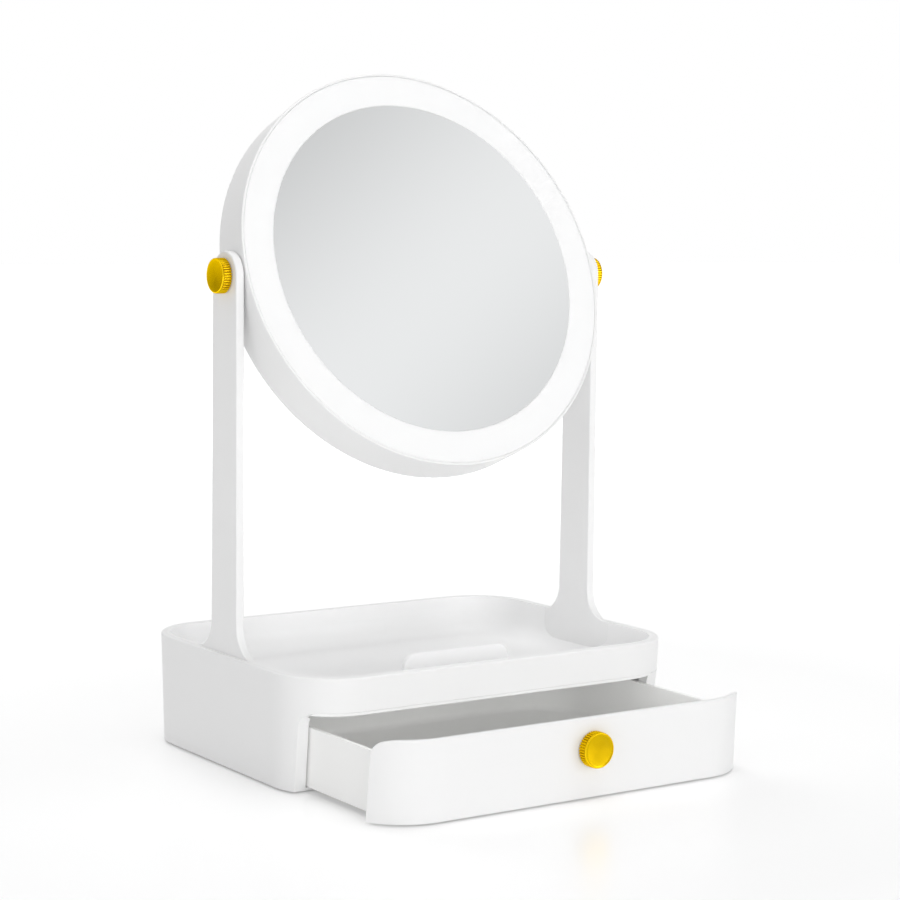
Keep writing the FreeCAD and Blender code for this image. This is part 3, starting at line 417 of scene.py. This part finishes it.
class Finish(enum.Enum):
    """Every finish on the object, by the name of what wears it."""

    SHELL = SatinPlastic("white_shell", (0.885, 0.886, 0.886), (0.905, 0.905, 0.905))
    # A brighter copy of the shell's white plastic, lifting the shade on the tray's floor
    TRAY = SatinPlastic("white_tray", (0.93, 0.931, 0.933), (0.945, 0.945, 0.945),
                        roughness=(0.34, 0.42))
    # The tub is a brighter copy of the white plastic with a painted glow, lifting the shade inside
    # the drawer
    TUB = SatinPlastic("white_tub", (0.96, 0.96, 0.952), (0.97, 0.97, 0.962),
                       roughness=(0.34, 0.42), painted_glow=0.05)
    INNER = PlainPart("inner_plastic", (0.62, 0.62, 0.61))
    BRASS = Brass("brass")
    OPAL = OpalAcrylic("opal")
    GLASS = SilveredGlass("mirror")
    RUBBER = PlainPart("rubber", (0.16, 0.16, 0.16), roughness=0.8)
    STEEL = PlainPart("steel", (0.55, 0.55, 0.54), roughness=0.3, metallic=1.0)
    NYLON = PlainPart("nylon", (0.78, 0.78, 0.74), roughness=0.45)
    BOARD = PlainPart("board", (0.74, 0.76, 0.74), roughness=0.4)
    CHIP = PlainPart("led", (0.85, 0.78, 0.30), roughness=0.3)
    CELL = CellWrap("cell")
    WIRE = PlainPart("wire", (0.55, 0.04, 0.03), roughness=0.4)
    SWITCH = PlainPart("switch", (0.03, 0.03, 0.03), roughness=0.45)

    def material(self) -> bpy.types.Material:
        """The finish's one shared material, built when it is first asked for."""
        ready = bpy.data.materials.get("finish_" + self.value.name)
        if ready is None:
            ready = self.value.make()
            ready.name = "finish_" + self.value.name
        return ready


def dress(node: str, finish: Finish) -> None:
    """Give a CAD node its finish.

    Args:
        node: the node's name.
        finish: what it wears.
    """
    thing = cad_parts[node]
    if not thing.material_slots:
        thing.data.materials.append(finish.material())
    for place in thing.material_slots:
        place.material = finish.material()


# ------------------------------------------------------------------ mesh helpers

def show(name: str, data: bpy.types.ID) -> bpy.types.Object:
    """Make an object at the origin and link it to the scene.

    Args:
        name: the object's name.
        data: its mesh, lamp or camera.

    Returns:
        The new object.
    """
    thing = bpy.data.objects.new(name, data)
    bpy.context.scene.collection.objects.link(thing)
    return thing


def mesh_object(name: str, shape: bmesh.types.BMesh, finish: Finish) -> bpy.types.Object:
    """Turn a finished bmesh into an object.

    Args:
        name: the piece's name.
        shape: the mesh, which is freed.
        finish: what it wears.

    Returns:
        The new object, linked to the scene.
    """
    bmesh.ops.recalc_face_normals(shape, faces=shape.faces)
    mesh = bpy.data.meshes.new(name)
    shape.to_mesh(mesh)
    shape.free()
    mesh.materials.append(finish.material())
    return show(name, mesh)


def lathe(outline: list[tuple[float, float]]) -> bmesh.types.BMesh:
    """Turn an outline of (radius, height) about +Z.  Points on the axis become poles.

    Args:
        outline: the outline from one end of the axis to the other.

    Returns:
        A closed mesh.
    """
    shape = bmesh.new()
    rings: list[list[bmesh.types.BMVert]] = []
    for radius, height in outline:
        if math.isclose(radius, 0.0):
            rings.append([shape.verts.new((0.0, 0.0, height))])
            continue
        turns = (2 * math.pi * n / LATHE_STEPS for n in range(LATHE_STEPS))
        rings.append([shape.verts.new((radius * math.cos(turn), radius * math.sin(turn), height))
                      for turn in turns])
    for low, high in zip(rings, rings[1:]):
        for n in range(LATHE_STEPS):
            after = (n + 1) % LATHE_STEPS
            if len(low) == 1:
                shape.faces.new((low[0], high[n], high[after]))
            elif len(high) == 1:
                shape.faces.new((low[n], high[0], low[after]))
            else:
                shape.faces.new((low[n], high[n], high[after], low[after]))
    return shape


def smooth_by_angle(thing: bpy.types.Object, degrees: float) -> None:
    """Shade smooth, but keep edges sharper than the angle crisp.

    Args:
        thing: a mesh object.
        degrees: the angle.
    """
    mesh = thing.data
    for polygon in mesh.polygons:
        polygon.use_smooth = True
    shape = bmesh.new()
    shape.from_mesh(mesh)
    for edge in shape.edges:
        edge.smooth = edge.is_manifold and edge.calc_face_angle(math.pi) < math.radians(degrees)
    shape.to_mesh(mesh)
    shape.free()


def turned_map(thing: bpy.types.Object) -> None:
    """Give a lathed piece on +Z a UV map: u runs once round the axis, v is the distance from
    the middle of its face, along the surface, in metres.

    Args:
        thing: a mesh object.
    """
    mesh = thing.data
    layer = mesh.uv_layers.new(name=TURNED)
    for polygon in mesh.polygons:
        spots = [mesh.vertices[n].co for n in polygon.vertices]
        middle = sum(spots, Vector()) / len(spots)
        facing = math.atan2(middle.y, middle.x)
        for loop, spot in zip(polygon.loop_indices, spots):
            reach = math.hypot(spot.x, spot.y)
            angle = math.atan2(spot.y, spot.x) if reach > ON_AXIS else facing
            angle = facing + math.remainder(angle - facing, 2 * math.pi)
            layer.data[loop].uv = (angle / (2 * math.pi), reach + spot.z)


def islands(node: str) -> list[tuple[Vector, Vector]]:
    """Find the separate solids of a CAD node.

    Args:
        node: the node's name.

    Returns:
        The lowest and highest corner of each solid.
    """
    shape = bmesh.new()
    shape.from_mesh(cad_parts[node].data)
    bmesh.ops.remove_doubles(shape, verts=shape.verts, dist=WELD)
    left = set(shape.verts)
    found = []
    while left:
        group = [left.pop()]
        for vert in group:
            near = {edge.other_vert(vert) for edge in vert.link_edges} & left
            left -= near
            group.extend(near)
        found.append((Vector([min(vert.co[n] for vert in group) for n in range(3)]),
                      Vector([max(vert.co[n] for vert in group) for n in range(3)])))
    shape.free()
    return sorted(found, key=lambda pair: tuple(round(c, 6) for c in pair[0]))


def fitted_copy(node: str, name: str, finish: Finish, move: Callable[[Vector], Vector]
                ) -> bpy.types.Object:
    """Copy a CAD node as one closed mesh that keeps the node's shading, its points moved a
    little.

    Args:
        node: the node's name.
        name: the new piece's name.
        finish: what it wears.
        move: gives a point's new place.

    Returns:
        The new object, linked to the scene.
    """
    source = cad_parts[node].data
    index: dict[tuple[int, ...], int] = {}
    spots, faces, normals = [], [], []
    for polygon in source.polygons:
        face = []
        for n in polygon.vertices:
            spot = source.vertices[n].co
            key = tuple(round(part / SAME_SPOT) for part in spot)
            if key not in index:
                index[key] = len(spots)
                spots.append(move(spot.copy()))
            face.append(index[key])
        if len(set(face)) == 3:
            faces.append(face)
            normals += [source.corner_normals[n].vector.copy() for n in polygon.loop_indices]
    mesh = bpy.data.meshes.new(name)
    mesh.from_pydata(spots, [], faces)
    for polygon in mesh.polygons:
        polygon.use_smooth = True
    mesh.normals_split_custom_set(normals)
    mesh.materials.append(finish.material())
    return show(name, mesh)


def settle(thing: bpy.types.Object, body: str, slot: str, *nodes: str) -> None:
    """Hide the CAD nodes that a finished piece stands for, and hang the piece on its body.

    Args:
        thing: the piece, with its place in its mesh.
        body: the CAD body that it rides on.
        slot: not used.
        nodes: CAD nodes that it stands for.
    """
    if nodes:
        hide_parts(*nodes)
    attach(thing, body)
    LOG.info("%s rides on %s", thing.name, body)


# ------------------------------------------------------------------ geometry nodes

class Recipe(NodeTree):
    """A geometry node tree with named inputs, run once and turned into a plain mesh."""

    def __init__(self, name: str, whole: tuple[str, ...], lengths: tuple[str, ...]) -> None:
        """Start a tree that takes and returns geometry.

        Args:
            name: the tree's name.
            whole: names of its whole-number inputs.
            lengths: names of its inputs in metres.
        """
        super().__init__(bpy.data.node_groups.new(name, "GeometryNodeTree"))
        face = self.tree.interface
        face.new_socket("Geometry", in_out="INPUT", socket_type="NodeSocketGeometry")
        face.new_socket("Geometry", in_out="OUTPUT", socket_type="NodeSocketGeometry")
        for label in whole:
            face.new_socket(label, in_out="INPUT", socket_type="NodeSocketInt")
        for label in lengths:
            face.new_socket(label, in_out="INPUT", socket_type="NodeSocketFloat")
        face.new_socket("Finish", in_out="INPUT", socket_type="NodeSocketMaterial")
        self.given = self.add("NodeGroupInput").outputs
        self.outlet = self.add("NodeGroupOutput")

    def column(self, sides: int, radius: bpy.types.NodeSocket, height: bpy.types.NodeSocket,
               foot: bpy.types.NodeSocket | None = None) -> bpy.types.NodeSocket:
        """Add an upright cylinder.

        Args:
            sides: how many sides it has.
            radius: its radius.
            height: its height.
            foot: how high it stands, or nothing to stand it at 0.

        Returns:
            Its geometry.
        """
        made = self.add("GeometryNodeMeshCylinder")
        made.inputs["Vertices"].default_value = sides
        self.join(radius, made.inputs["Radius"])
        self.join(height, made.inputs["Depth"])
        middle = self.add("ShaderNodeMath", operation="MULTIPLY_ADD")
        middle.inputs[1].default_value = 0.5
        middle.inputs[2].default_value = 0.0
        self.join(height, middle.inputs[0])
        if foot is not None:
            self.join(foot, middle.inputs[2])
        lift = self.add("ShaderNodeCombineXYZ")
        self.join(middle.outputs["Value"], lift.inputs["Z"])
        moved = self.add("GeometryNodeTransform")
        self.join(made.outputs["Mesh"], moved.inputs["Geometry"])
        self.join(lift.outputs["Vector"], moved.inputs["Translation"])
        return moved.outputs["Geometry"]

    def repeat(self, points: bpy.types.NodeSocket, piece: bpy.types.NodeSocket
               ) -> bpy.types.NodeSocket:
        """Put a piece at each point.

        Args:
            points: geometry whose points are used.
            piece: the piece's geometry.

        Returns:
            The instances.
        """
        copies = self.add("GeometryNodeInstanceOnPoints")
        self.join(points, copies.inputs["Points"])
        self.join(piece, copies.inputs["Instance"])
        return copies.outputs["Instances"]

    def end_with(self, geometry: bpy.types.NodeSocket) -> None:
        """Realize the instances, set the material and send the result out.

        Args:
            geometry: what the tree has made.
        """
        real = self.add("GeometryNodeRealizeInstances")
        painted = self.add("GeometryNodeSetMaterial")
        self.join(geometry, real.inputs["Geometry"])
        self.join(real.outputs["Geometry"], painted.inputs["Geometry"])
        self.join(self.given["Finish"], painted.inputs["Material"])
        self.join(painted.outputs["Geometry"], self.outlet.inputs["Geometry"])

    def run(self, thing: bpy.types.Object, **values: object) -> None:
        """Apply the tree to an object and keep the result as its plain mesh.

        Args:
            thing: the object whose mesh goes in.
            values: input names, with spaces as underscores, and values.
        """
        modifier = thing.modifiers.new("recipe", "NODES")
        modifier.node_group = self.tree
        keys = {item.name: item.identifier for item in self.tree.interface.items_tree
                if item.in_out == "INPUT"}
        for name, value in values.items():
            modifier[keys[name.replace("_", " ")]] = value
        graph = bpy.context.evaluated_depsgraph_get()
        graph.update()
        made = bpy.data.meshes.new_from_object(thing.evaluated_get(graph), depsgraph=graph)
        thing.modifiers.remove(modifier)
        old = thing.data
        thing.data = made
        bpy.data.meshes.remove(old)


def ridge_recipe() -> Recipe:
    """Half-round ridges set side by side round a band, added to the geometry that comes in.

    Returns:
        The recipe, with inputs Count, Ring Radius, Ridge Radius, Length, Start and Finish.
    """
    recipe = Recipe("knurl_ridges", ("Count",),
                    ("Ring Radius", "Ridge Radius", "Length", "Start"))
    given = recipe.given
    ring = recipe.add("GeometryNodeMeshCircle")
    recipe.join(given["Count"], ring.inputs["Vertices"])
    recipe.join(given["Ring Radius"], ring.inputs["Radius"])
    ridge = recipe.column(RIDGE_SIDES, given["Ridge Radius"], given["Length"], given["Start"])
    both = recipe.add("GeometryNodeJoinGeometry")
    recipe.join(given["Geometry"], both.inputs["Geometry"])
    recipe.join(recipe.repeat(ring.outputs["Mesh"], ridge), both.inputs["Geometry"])
    recipe.end_with(both.outputs["Geometry"])
    return recipe


def screw_recipe() -> Recipe:
    """Cross-recessed screws, one at each point that comes in, heads down and shanks up.

    Returns:
        The recipe, with inputs Head Radius, Head Height, Shank Radius, Length, Slot and Finish.
    """
    recipe = Recipe("cross_screws", (),
                    ("Head Radius", "Head Height", "Shank Radius", "Length", "Slot"))
    given = recipe.given

    def bar(first: str, second: str) -> bpy.types.NodeSocket:
        """One arm of the cross: as long as the head's radius and half the head's height deep."""
        size = recipe.add("ShaderNodeCombineXYZ")
        recipe.join(given["Head Radius"], size.inputs[first])
        recipe.join(given["Slot"], size.inputs[second])
        recipe.join(given["Head Height"], size.inputs["Z"])
        made = recipe.add("GeometryNodeMeshCube")
        recipe.join(size.outputs["Vector"], made.inputs["Size"])
        return made.outputs["Mesh"]

    whole = recipe.add("GeometryNodeMeshBoolean", operation="UNION")
    for radius, height in (("Head Radius", "Head Height"), ("Shank Radius", "Length")):
        recipe.join(recipe.column(SCREW_SIDES, given[radius], given[height]),
                    whole.inputs["Mesh 2"])
    cut = recipe.add("GeometryNodeMeshBoolean", operation="DIFFERENCE")
    recipe.join(whole.outputs["Mesh"], cut.inputs["Mesh 1"])
    recipe.join(bar("X", "Y"), cut.inputs["Mesh 2"])
    recipe.join(bar("Y", "X"), cut.inputs["Mesh 2"])
    recipe.end_with(recipe.repeat(given["Geometry"], cut.outputs["Mesh"]))
    return recipe


# ------------------------------------------------------------------ sub-assemblies

class Assembly:
    """A sub-assembly: the pieces that it makes, and the finishes of the CAD nodes that stay."""

    wears: ClassVar[dict[str, Finish]] = {}

    def make(self) -> None:
        """Make the pieces that stand for CAD nodes; most sub-assemblies have none."""

    def build(self) -> None:
        """Make the pieces, then dress the nodes."""
        self.make()
        for node, finish in self.wears.items():
            dress(node, finish)
            LOG.info("%s wears %s", node, finish.value.name)


@dataclass
class KnurledKnob:
    """A brass knob: a neck, a knurled band, a thin bright rim and a turned, dished face."""

    radius: float = 8.4 * MM
    ridge: float = 0.5 * MM
    face_radius: float = 7.8 * MM
    neck_radius: float = 6.2 * MM
    neck: float = 0.25 * MM
    band: float = 4.3 * MM
    bevel: float = 0.65 * MM
    rim: float = 0.2 * MM
    dish: float = 0.5 * MM
    ridge_end: float = 0.15 * MM
    back_chamfer: float = 0.3 * MM
    edge_inset: float = 0.08 * MM
    lip: float = 0.12 * MM
    lip_drop: float = 0.02 * MM
    groove_step: float = 0.05 * MM
    count: int = 40
    bevel_steps: int = 6
    dish_rings: int = 10
    # Levels of painted shade: in the grooves, and the painted dark reflection from the middle to
    # the border of the dish
    groove_shade: float = 0.35
    dish_shades: Range = (0.26, 0.44)
    crease: float = 35.0

    def outline(self) -> list[tuple[float, float]]:
        """The half outline from the middle of the back to the middle of the face."""
        core = self.radius - self.ridge
        low = self.neck
        high = low + self.band
        face = high + self.bevel
        edge = self.radius - self.edge_inset
        steps = [(0.0, 0.0), (self.neck_radius, 0.0), (self.neck_radius, low),
                 (core - self.back_chamfer, low), (core, low + self.back_chamfer),
                 (core, high - self.groove_step), (edge, high)]
        for n in range(1, self.bevel_steps):
            turn = n / self.bevel_steps * math.pi / 2
            steps.append((edge - (edge - self.face_radius) * (1 - math.cos(turn)),
                          high + self.bevel * math.sin(turn)))
        inner = self.face_radius - self.rim
        steps += [(self.face_radius, face), (inner + self.lip, face - self.lip_drop),
                  (inner, face - self.lip)]
        for n in range(1, self.dish_rings):
            share = 1.0 - n / self.dish_rings
            sunk = self.lip + (self.dish - self.lip) * (1.0 - share * share)
            steps.append((inner * share, face - sunk))
        steps.append((0.0, face - self.dish))
        return steps

    def painted_shade(self, thing: bpy.types.Object) -> None:
        """Store the painted shade of the brass at each point: painted shade in the grooves of the
        band, a painted dark reflection in the dish, and the full brass colour on the ridges and
        the rim.

        Args:
            thing: the knob, its axis on +Z.
        """
        core = self.radius - self.ridge
        inner = self.face_radius - self.rim
        front = self.neck + self.band + 0.2 * self.bevel
        middle, border = self.dish_shades
        layer = thing.data.attributes.new(PAINTED_SHADE_ATTRIBUTE, "FLOAT", "POINT")
        for vert in thing.data.vertices:
            reach = math.hypot(vert.co.x, vert.co.y)
            # Grooves get painted shade, the dish a painted dark reflection, and the ridges and rim
            # the full brass colour
            if vert.co.z < front:
                level = self.groove_shade + (1.0 - self.groove_shade) * (reach - core) / self.ridge
            elif reach > inner + self.lip / 2:
                level = 1.0
            else:
                level = middle + (border - middle) * (reach / inner) ** 2
            layer.data[vert.index].value = min(max(level, 0.0), 1.0)

    def make(self, node: str, body: str, turn: Matrix, seat: Vector) -> None:
        """Make one knob.

        Args:
            node: the CAD node that it stands for.
            body: the body that it rides on.
            turn: what brings its axis from +Z to where it points.
            seat: the middle of its back.
        """
        knob = mesh_object(node + "_turned", lathe(self.outline()), Finish.BRASS)
        ridge_recipe().run(knob, Count=self.count, Ring_Radius=self.radius - self.ridge,
                           Ridge_Radius=self.ridge, Length=self.band - 2 * self.ridge_end,
                           Start=self.neck + self.ridge_end, Finish=Finish.BRASS.material())
        turned_map(knob)
        self.painted_shade(knob)
        knob.data.transform(Matrix.Translation(seat) @ turn)
        smooth_by_angle(knob, self.crease)
        settle(knob, body, "brass", node)


@dataclass
class Base(Assembly):
    """The base: its shell, the floor plate with its feet, and the screws from below."""

    head_radius: float = 2.0 * MM
    head_height: float = 1.1 * MM
    shank_radius: float = 1.3 * MM
    slot: float = 0.55 * MM
    crease: float = 30.0
    wears: ClassVar[dict[str, Finish]] = {
        "base_housing": Finish.SHELL, "base_floor": Finish.SHELL, "rubber_feet": Finish.RUBBER}

    def make(self) -> None:
        """Put a cross-recessed screw at every screw under the floor."""
        for node in ("floor_screws", "upright_screws"):
            spots = islands(node)
            points = bmesh.new()
            for low, high in spots:
                points.verts.new(((low.x + high.x) / 2, (low.y + high.y) / 2, low.z))
            screws = mesh_object(node + "_crossed", points, Finish.STEEL)
            length = spots[0][1].z - spots[0][0].z
            screw_recipe().run(screws, Head_Radius=self.head_radius,
                               Head_Height=self.head_height, Shank_Radius=self.shank_radius,
                               Length=length, Slot=self.slot, Finish=Finish.STEEL.material())
            smooth_by_angle(screws, self.crease)
            settle(screws, "base", "steel", node)


@dataclass(frozen=True)
class ShellBore:
    """The inside of the base's shell, seen from above: a box with round corners."""

    half_width: float = 107.1 * MM
    half_depth: float = 80.6 * MM
    corner: float = 29.1 * MM
    gap: float = 0.1 * MM
    gap_error: float = 0.02 * MM
    close: float = 0.085 * MM
    drawer_top: float = 40.0 * MM

    def press(self, spot: Vector) -> Vector:
        """Bring a point that faces the bore's wall nearly up to it, so no dark line shows.

        Points lower than the drawer stay, so that its front still closes clear of them.

        Args:
            spot: a point of a piece that sits in the bore.

        Returns:
            The point, moved outwards if it lay on the piece's outer face.
        """
        over = Vector((abs(spot.x) - self.half_width + self.corner,
                       abs(spot.y) - self.half_depth + self.corner, 0.0))
        if over.x > 0.0 and over.y > 0.0:
            away, reach = over.normalized(), over.length
        elif over.x > over.y:
            away, reach = Vector((1.0, 0.0, 0.0)), over.x
        else:
            away, reach = Vector((0.0, 1.0, 0.0)), over.y
        on_face = abs(self.corner - reach - self.gap) < self.gap_error
        if on_face and spot.z > self.drawer_top:
            spot.x += math.copysign(self.close * away.x, spot.x)
            spot.y += math.copysign(self.close * away.y, spot.y)
        return spot


@dataclass
class Tray(Assembly):
    """The open tray with its coved corners and its divider, its rim flush with the shell's."""

    bore: ShellBore = field(default_factory=ShellBore)

    def make(self) -> None:
        """Fit the tray to the shell's bore."""
        settle(fitted_copy("tray", "tray_flush", Finish.TRAY, self.bore.press), "base",
               "white_tray", "tray")


@dataclass
class Stand(Assembly):
    """The two uprights, their bushes and studs, and the knob on each side."""

    bore: ShellBore = field(default_factory=ShellBore)
    knob: KnurledKnob = field(default_factory=KnurledKnob)
    wears: ClassVar[dict[str, Finish]] = {
        "left_pivot_bush": Finish.NYLON, "right_pivot_bush": Finish.NYLON,
        "left_pivot_stud": Finish.STEEL, "right_pivot_stud": Finish.STEEL}

    def make(self) -> None:
        """Fit the uprights to the bore and make the pivot knobs, their backs to them."""
        for side in ("left", "right"):
            node = side + "_upright"
            settle(fitted_copy(node, node + "_flush", Finish.SHELL, self.bore.press), "base",
                   "white_shell", node)
        for side, outwards in (("left", -1.0), ("right", 1.0)):
            node = side + "_pivot_knob"
            low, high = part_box(node)
            seat = (low + high) / 2
            seat.x = low.x if outwards > 0 else high.x
            self.knob.make(node, side + "_knob",
                           Matrix.Rotation(math.radians(90.0 * outwards), 4, "Y"), seat)


@dataclass
class Drawer(Assembly):
    """The drawer: its tub, the front that wraps round the base, and the knob."""

    knob: KnurledKnob = field(default_factory=KnurledKnob)
    wears: ClassVar[dict[str, Finish]] = {
        "drawer_tub": Finish.TUB, "drawer_front": Finish.SHELL,
        "drawer_knob_screw": Finish.STEEL, "drawer_front_screws": Finish.STEEL,
        "drawer_glides": Finish.NYLON}

    def make(self) -> None:
        """Make the knob on the drawer's front."""
        low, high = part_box("drawer_knob")
        seat = (low + high) / 2
        seat.y = high.y
        self.knob.make("drawer_knob", "drawer", Matrix.Rotation(math.radians(90.0), 4, "X"),
                       seat)


@dataclass(frozen=True)
class RoundSeat:
    """A round seat in the tilted head, which a disc or ring fills up to its edge."""

    inside: float
    radius: float

    def press(self, spot: Vector) -> Vector:
        """Bring the edge of the disc up to the seat.

        Args:
            spot: a point of the disc.

        Returns:
            The point, moved out to the seat if it lay between the two radii.
        """
        middle = Vector((0.0, 0.0, PIVOT_HEIGHT))
        facing = Vector((0.0, -math.cos(REST_TILT), math.sin(REST_TILT)))
        along = (spot - middle).dot(facing) * facing
        away = spot - middle - along
        if self.inside < away.length < self.radius:
            return middle + along + away.normalized() * self.radius
        return spot


@dataclass
class MirrorHead(Assembly):
    """The round head: its housing, the looking glass and the ring of light round it."""

    ring_seat: RoundSeat = RoundSeat(100.85 * MM, 101.08 * MM)
    glass_seat: RoundSeat = RoundSeat(84.55 * MM, 85.08 * MM)
    wears: ClassVar[dict[str, Finish]] = {
        "head_housing": Finish.SHELL, "mirror_carrier": Finish.INNER,
        "led_board": Finish.BOARD, "leds": Finish.CHIP, "head_screws": Finish.STEEL,
        "light_leads": Finish.WIRE}

    def make(self) -> None:
        """Fit the ring into the housing and the glass into the ring."""
        settle(fitted_copy("light_diffuser", "light_diffuser_flush", Finish.OPAL,
                           self.ring_seat.press), "mirror_head", "opal", "light_diffuser")
        settle(fitted_copy("mirror_glass", "mirror_glass_flush", Finish.GLASS,
                           self.glass_seat.press), "mirror_head", "mirror", "mirror_glass")


@dataclass
class PowerPack(Assembly):
    """What feeds the light: cells behind a cover, a board, a switch and its button."""

    wears: ClassVar[dict[str, Finish]] = {
        "batteries": Finish.CELL, "battery_contacts": Finish.STEEL,
        "battery_cover": Finish.SHELL, "control_board": Finish.BOARD,
        "power_switch": Finish.SWITCH, "power_button": Finish.SHELL,
        "battery_leads": Finish.WIRE}


# ------------------------------------------------------------------ studio

@dataclass(frozen=True)
class Lamp:
    """A square soft lamp aimed at the object."""

    name: str
    spot: tuple[float, float, float]
    size: float
    level: float
    gloss: bool = True
    target: tuple[float, float, float] = (0.0, 0.0, 0.12)

    def hang(self) -> None:
        """Add the lamp; its power gives the stated level on a white card that faces it."""
        aim = Vector(self.target) - Vector(self.spot)
        data = bpy.data.lights.new(self.name, "AREA")
        data.size = self.size
        data.energy = self.level * math.pi ** 2 * aim.length_squared
        thing = show(self.name, data)
        thing.location = self.spot
        thing.visible_glossy = self.gloss
        thing.rotation_mode = "QUATERNION"
        thing.rotation_quaternion = aim.to_track_quat("-Z", "Y")


@dataclass
class Studio:
    """Floor, sky, lamps and the camera; lengths in metres, angles in degrees, lens in mm."""

    eye: Vector = field(default_factory=lambda: Vector((-0.63045, -0.95884, 0.26622)))
    yaw: float = 34.271
    pitch: float = 5.882
    roll: float = 0.712
    lens: float = 92.05
    sensor: float = 36.0
    clip: Range = (0.05, 50.0)
    sky: float = 0.355
    floor_size: float = 9.0
    floor_grey: float = 0.93
    floor_roughness: float = 0.24
    floor_gloss: float = 0.35
    glow_reach: Range = (0.3, 1.4)
    glow_levels: Range = (0.16, 0.62)
    sweep: Vector = field(default_factory=lambda: Vector((0.543, -0.15, -0.826)))
    sweep_levels: tuple[Range, ...] = (
        (-1.0, 1.0), (-0.6, 0.85), (-0.45, 0.58), (-0.21, 0.50), (-0.05, 0.87), (0.06, 0.66),
        (0.35, 0.78), (0.7, 0.97), (1.0, 1.0))
    lamps: tuple[Lamp, ...] = (
        Lamp("front", (-0.3, -2.4, 0.30), size=1.2, level=0.26, gloss=False),
        Lamp("low", (-1.25, -2.05, 0.36), size=0.7, level=0.15, gloss=False),
        Lamp("side", (-2.2, -0.8, 0.5), size=1.2, level=0.10, gloss=False),
        Lamp("key", (1.25, -1.6, 0.45), size=0.8, level=0.11),
        Lamp("back", (0.0, 1.6, 1.4), size=1.4, level=0.37, gloss=False),
        Lamp("top", (0.25, -0.2, 2.0), size=1.6, level=0.40, gloss=False))

    def camera(self) -> None:
        """Place the camera."""
        data = bpy.data.cameras.new("view")
        data.sensor_width = self.sensor
        data.lens = self.lens
        data.clip_start, data.clip_end = self.clip
        thing = show("view", data)
        turn, dip, lean = (math.radians(angle) for angle in (self.yaw, self.pitch, self.roll))
        ahead = Vector((math.sin(turn) * math.cos(dip), math.cos(turn) * math.cos(dip),
                        -math.sin(dip)))
        level = Vector((math.cos(turn), -math.sin(turn), 0.0))
        upright = level.cross(ahead)
        right = level * math.cos(lean) + upright * math.sin(lean)
        up = -level * math.sin(lean) + upright * math.cos(lean)
        basis = Matrix((right, up, -ahead)).transposed().to_4x4()
        thing.matrix_world = Matrix.Translation(self.eye) @ basis
        bpy.context.scene.camera = thing

    def world(self) -> None:
        """A pale sky: white for the eye, a soft sweep of greys in reflections."""
        world = bpy.data.worlds.new("studio")
        bpy.context.scene.world = world
        world.use_nodes = True
        tree = ShaderTree(world.node_tree)
        plain, shown, out = tree.add("Background"), tree.add("Background"), tree.add("OutputWorld")
        plain.inputs["Color"].default_value = (1.0, 1.0, 1.0, 1.0)
        plain.inputs["Strength"].default_value = self.sky
        place = tree.add("TexCoord")
        lean = tree.add("VectorMath", operation="DOT_PRODUCT")
        lean.inputs[1].default_value = self.sweep
        tree.join(place.outputs["Generated"], lean.inputs[0])
        share = tree.add("MapRange")
        share.inputs["From Min"].default_value = -1.0
        tree.join(lean.outputs["Value"], share.inputs["Value"])
        ramp = tree.add("ValToRGB")
        ramp.color_ramp.interpolation = "EASE"
        stops = ramp.color_ramp.elements
        stops.remove(stops[0])
        for n, (reach, level) in enumerate(self.sweep_levels):
            stop = stops[0] if n == 0 else stops.new((reach + 1) / 2)
            stop.position = (reach + 1) / 2
            stop.color = (level, level, level, 1.0)
        tree.join(share.outputs["Result"], ramp.inputs["Fac"])
        straight, mirrored, white, result = tree.mix()
        tree.join(tree.add("LightPath").outputs["Is Camera Ray"], straight)
        tree.join(ramp.outputs["Color"], mirrored)
        white.default_value = (1.0, 1.0, 1.0, 1.0)
        tree.join(result, shown.inputs["Color"])
        mix = tree.add("MixShader")
        tree.join(tree.seen_or_mirrored(), mix.inputs["Fac"])
        tree.join(plain.outputs["Background"], mix.inputs[1])
        tree.join(shown.outputs["Background"], mix.inputs[2])
        tree.join(mix.outputs["Shader"], out.inputs["Surface"])

    def floor(self) -> None:
        """A wide pale floor with a faint gloss: white to the eye, with the object's shadow."""
        shape = bmesh.new()
        bmesh.ops.create_grid(shape, x_segments=1, y_segments=1, size=self.floor_size)
        mesh = bpy.data.meshes.new("floor")
        shape.to_mesh(mesh)
        shape.free()
        shader = Shader("floor")
        grey = self.floor_grey
        card = shader.surface(Base_Color=(grey, grey, grey, 1.0), Roughness=self.floor_roughness,
                              Specular_IOR_Level=self.floor_gloss)
        glow = shader.add("Emission")
        glow.inputs["Color"].default_value = (1.0, 1.0, 1.0, 1.0)
        place = shader.add("TexCoord")
        reach = shader.add("VectorMath", operation="LENGTH")
        shader.join(place.outputs["Object"], reach.inputs[0])
        level = shader.add("MapRange")
        for name, value in zip(("From Min", "From Max", "To Min", "To Max"),
                               (*self.glow_reach, *self.glow_levels)):
            level.inputs[name].default_value = value
        shader.join(reach.outputs["Value"], level.inputs["Value"])
        strength = shader.add("Math", operation="MULTIPLY")
        shader.join(shader.seen_or_mirrored(), strength.inputs[0])
        shader.join(level.outputs["Result"], strength.inputs[1])
        shader.join(strength.outputs["Value"], glow.inputs["Strength"])
        both = shader.add("AddShader")
        shader.join(card.outputs["BSDF"], both.inputs[0])
        shader.join(glow.outputs["Emission"], both.inputs[1])
        shader.join(both.outputs["Shader"], shader.output.inputs["Surface"])
        mesh.materials.append(shader.material)
        thing = show("floor", mesh)

    def build(self) -> None:
        """Set up the whole studio."""
        bpy.context.scene.view_settings.view_transform = "Standard"
        self.camera()
        self.world()
        self.floor()
        for lamp in self.lamps:
            lamp.hang()


def main() -> None:
    """Build every class in order."""
    logging.basicConfig(level=logging.INFO)
    for part in (Studio(), Base(), Tray(), Stand(), Drawer(), MirrorHead(), PowerPack()):
        part.build()
        LOG.info("%s is ready", type(part).__name__)


if __name__ == "__main__":
    main()
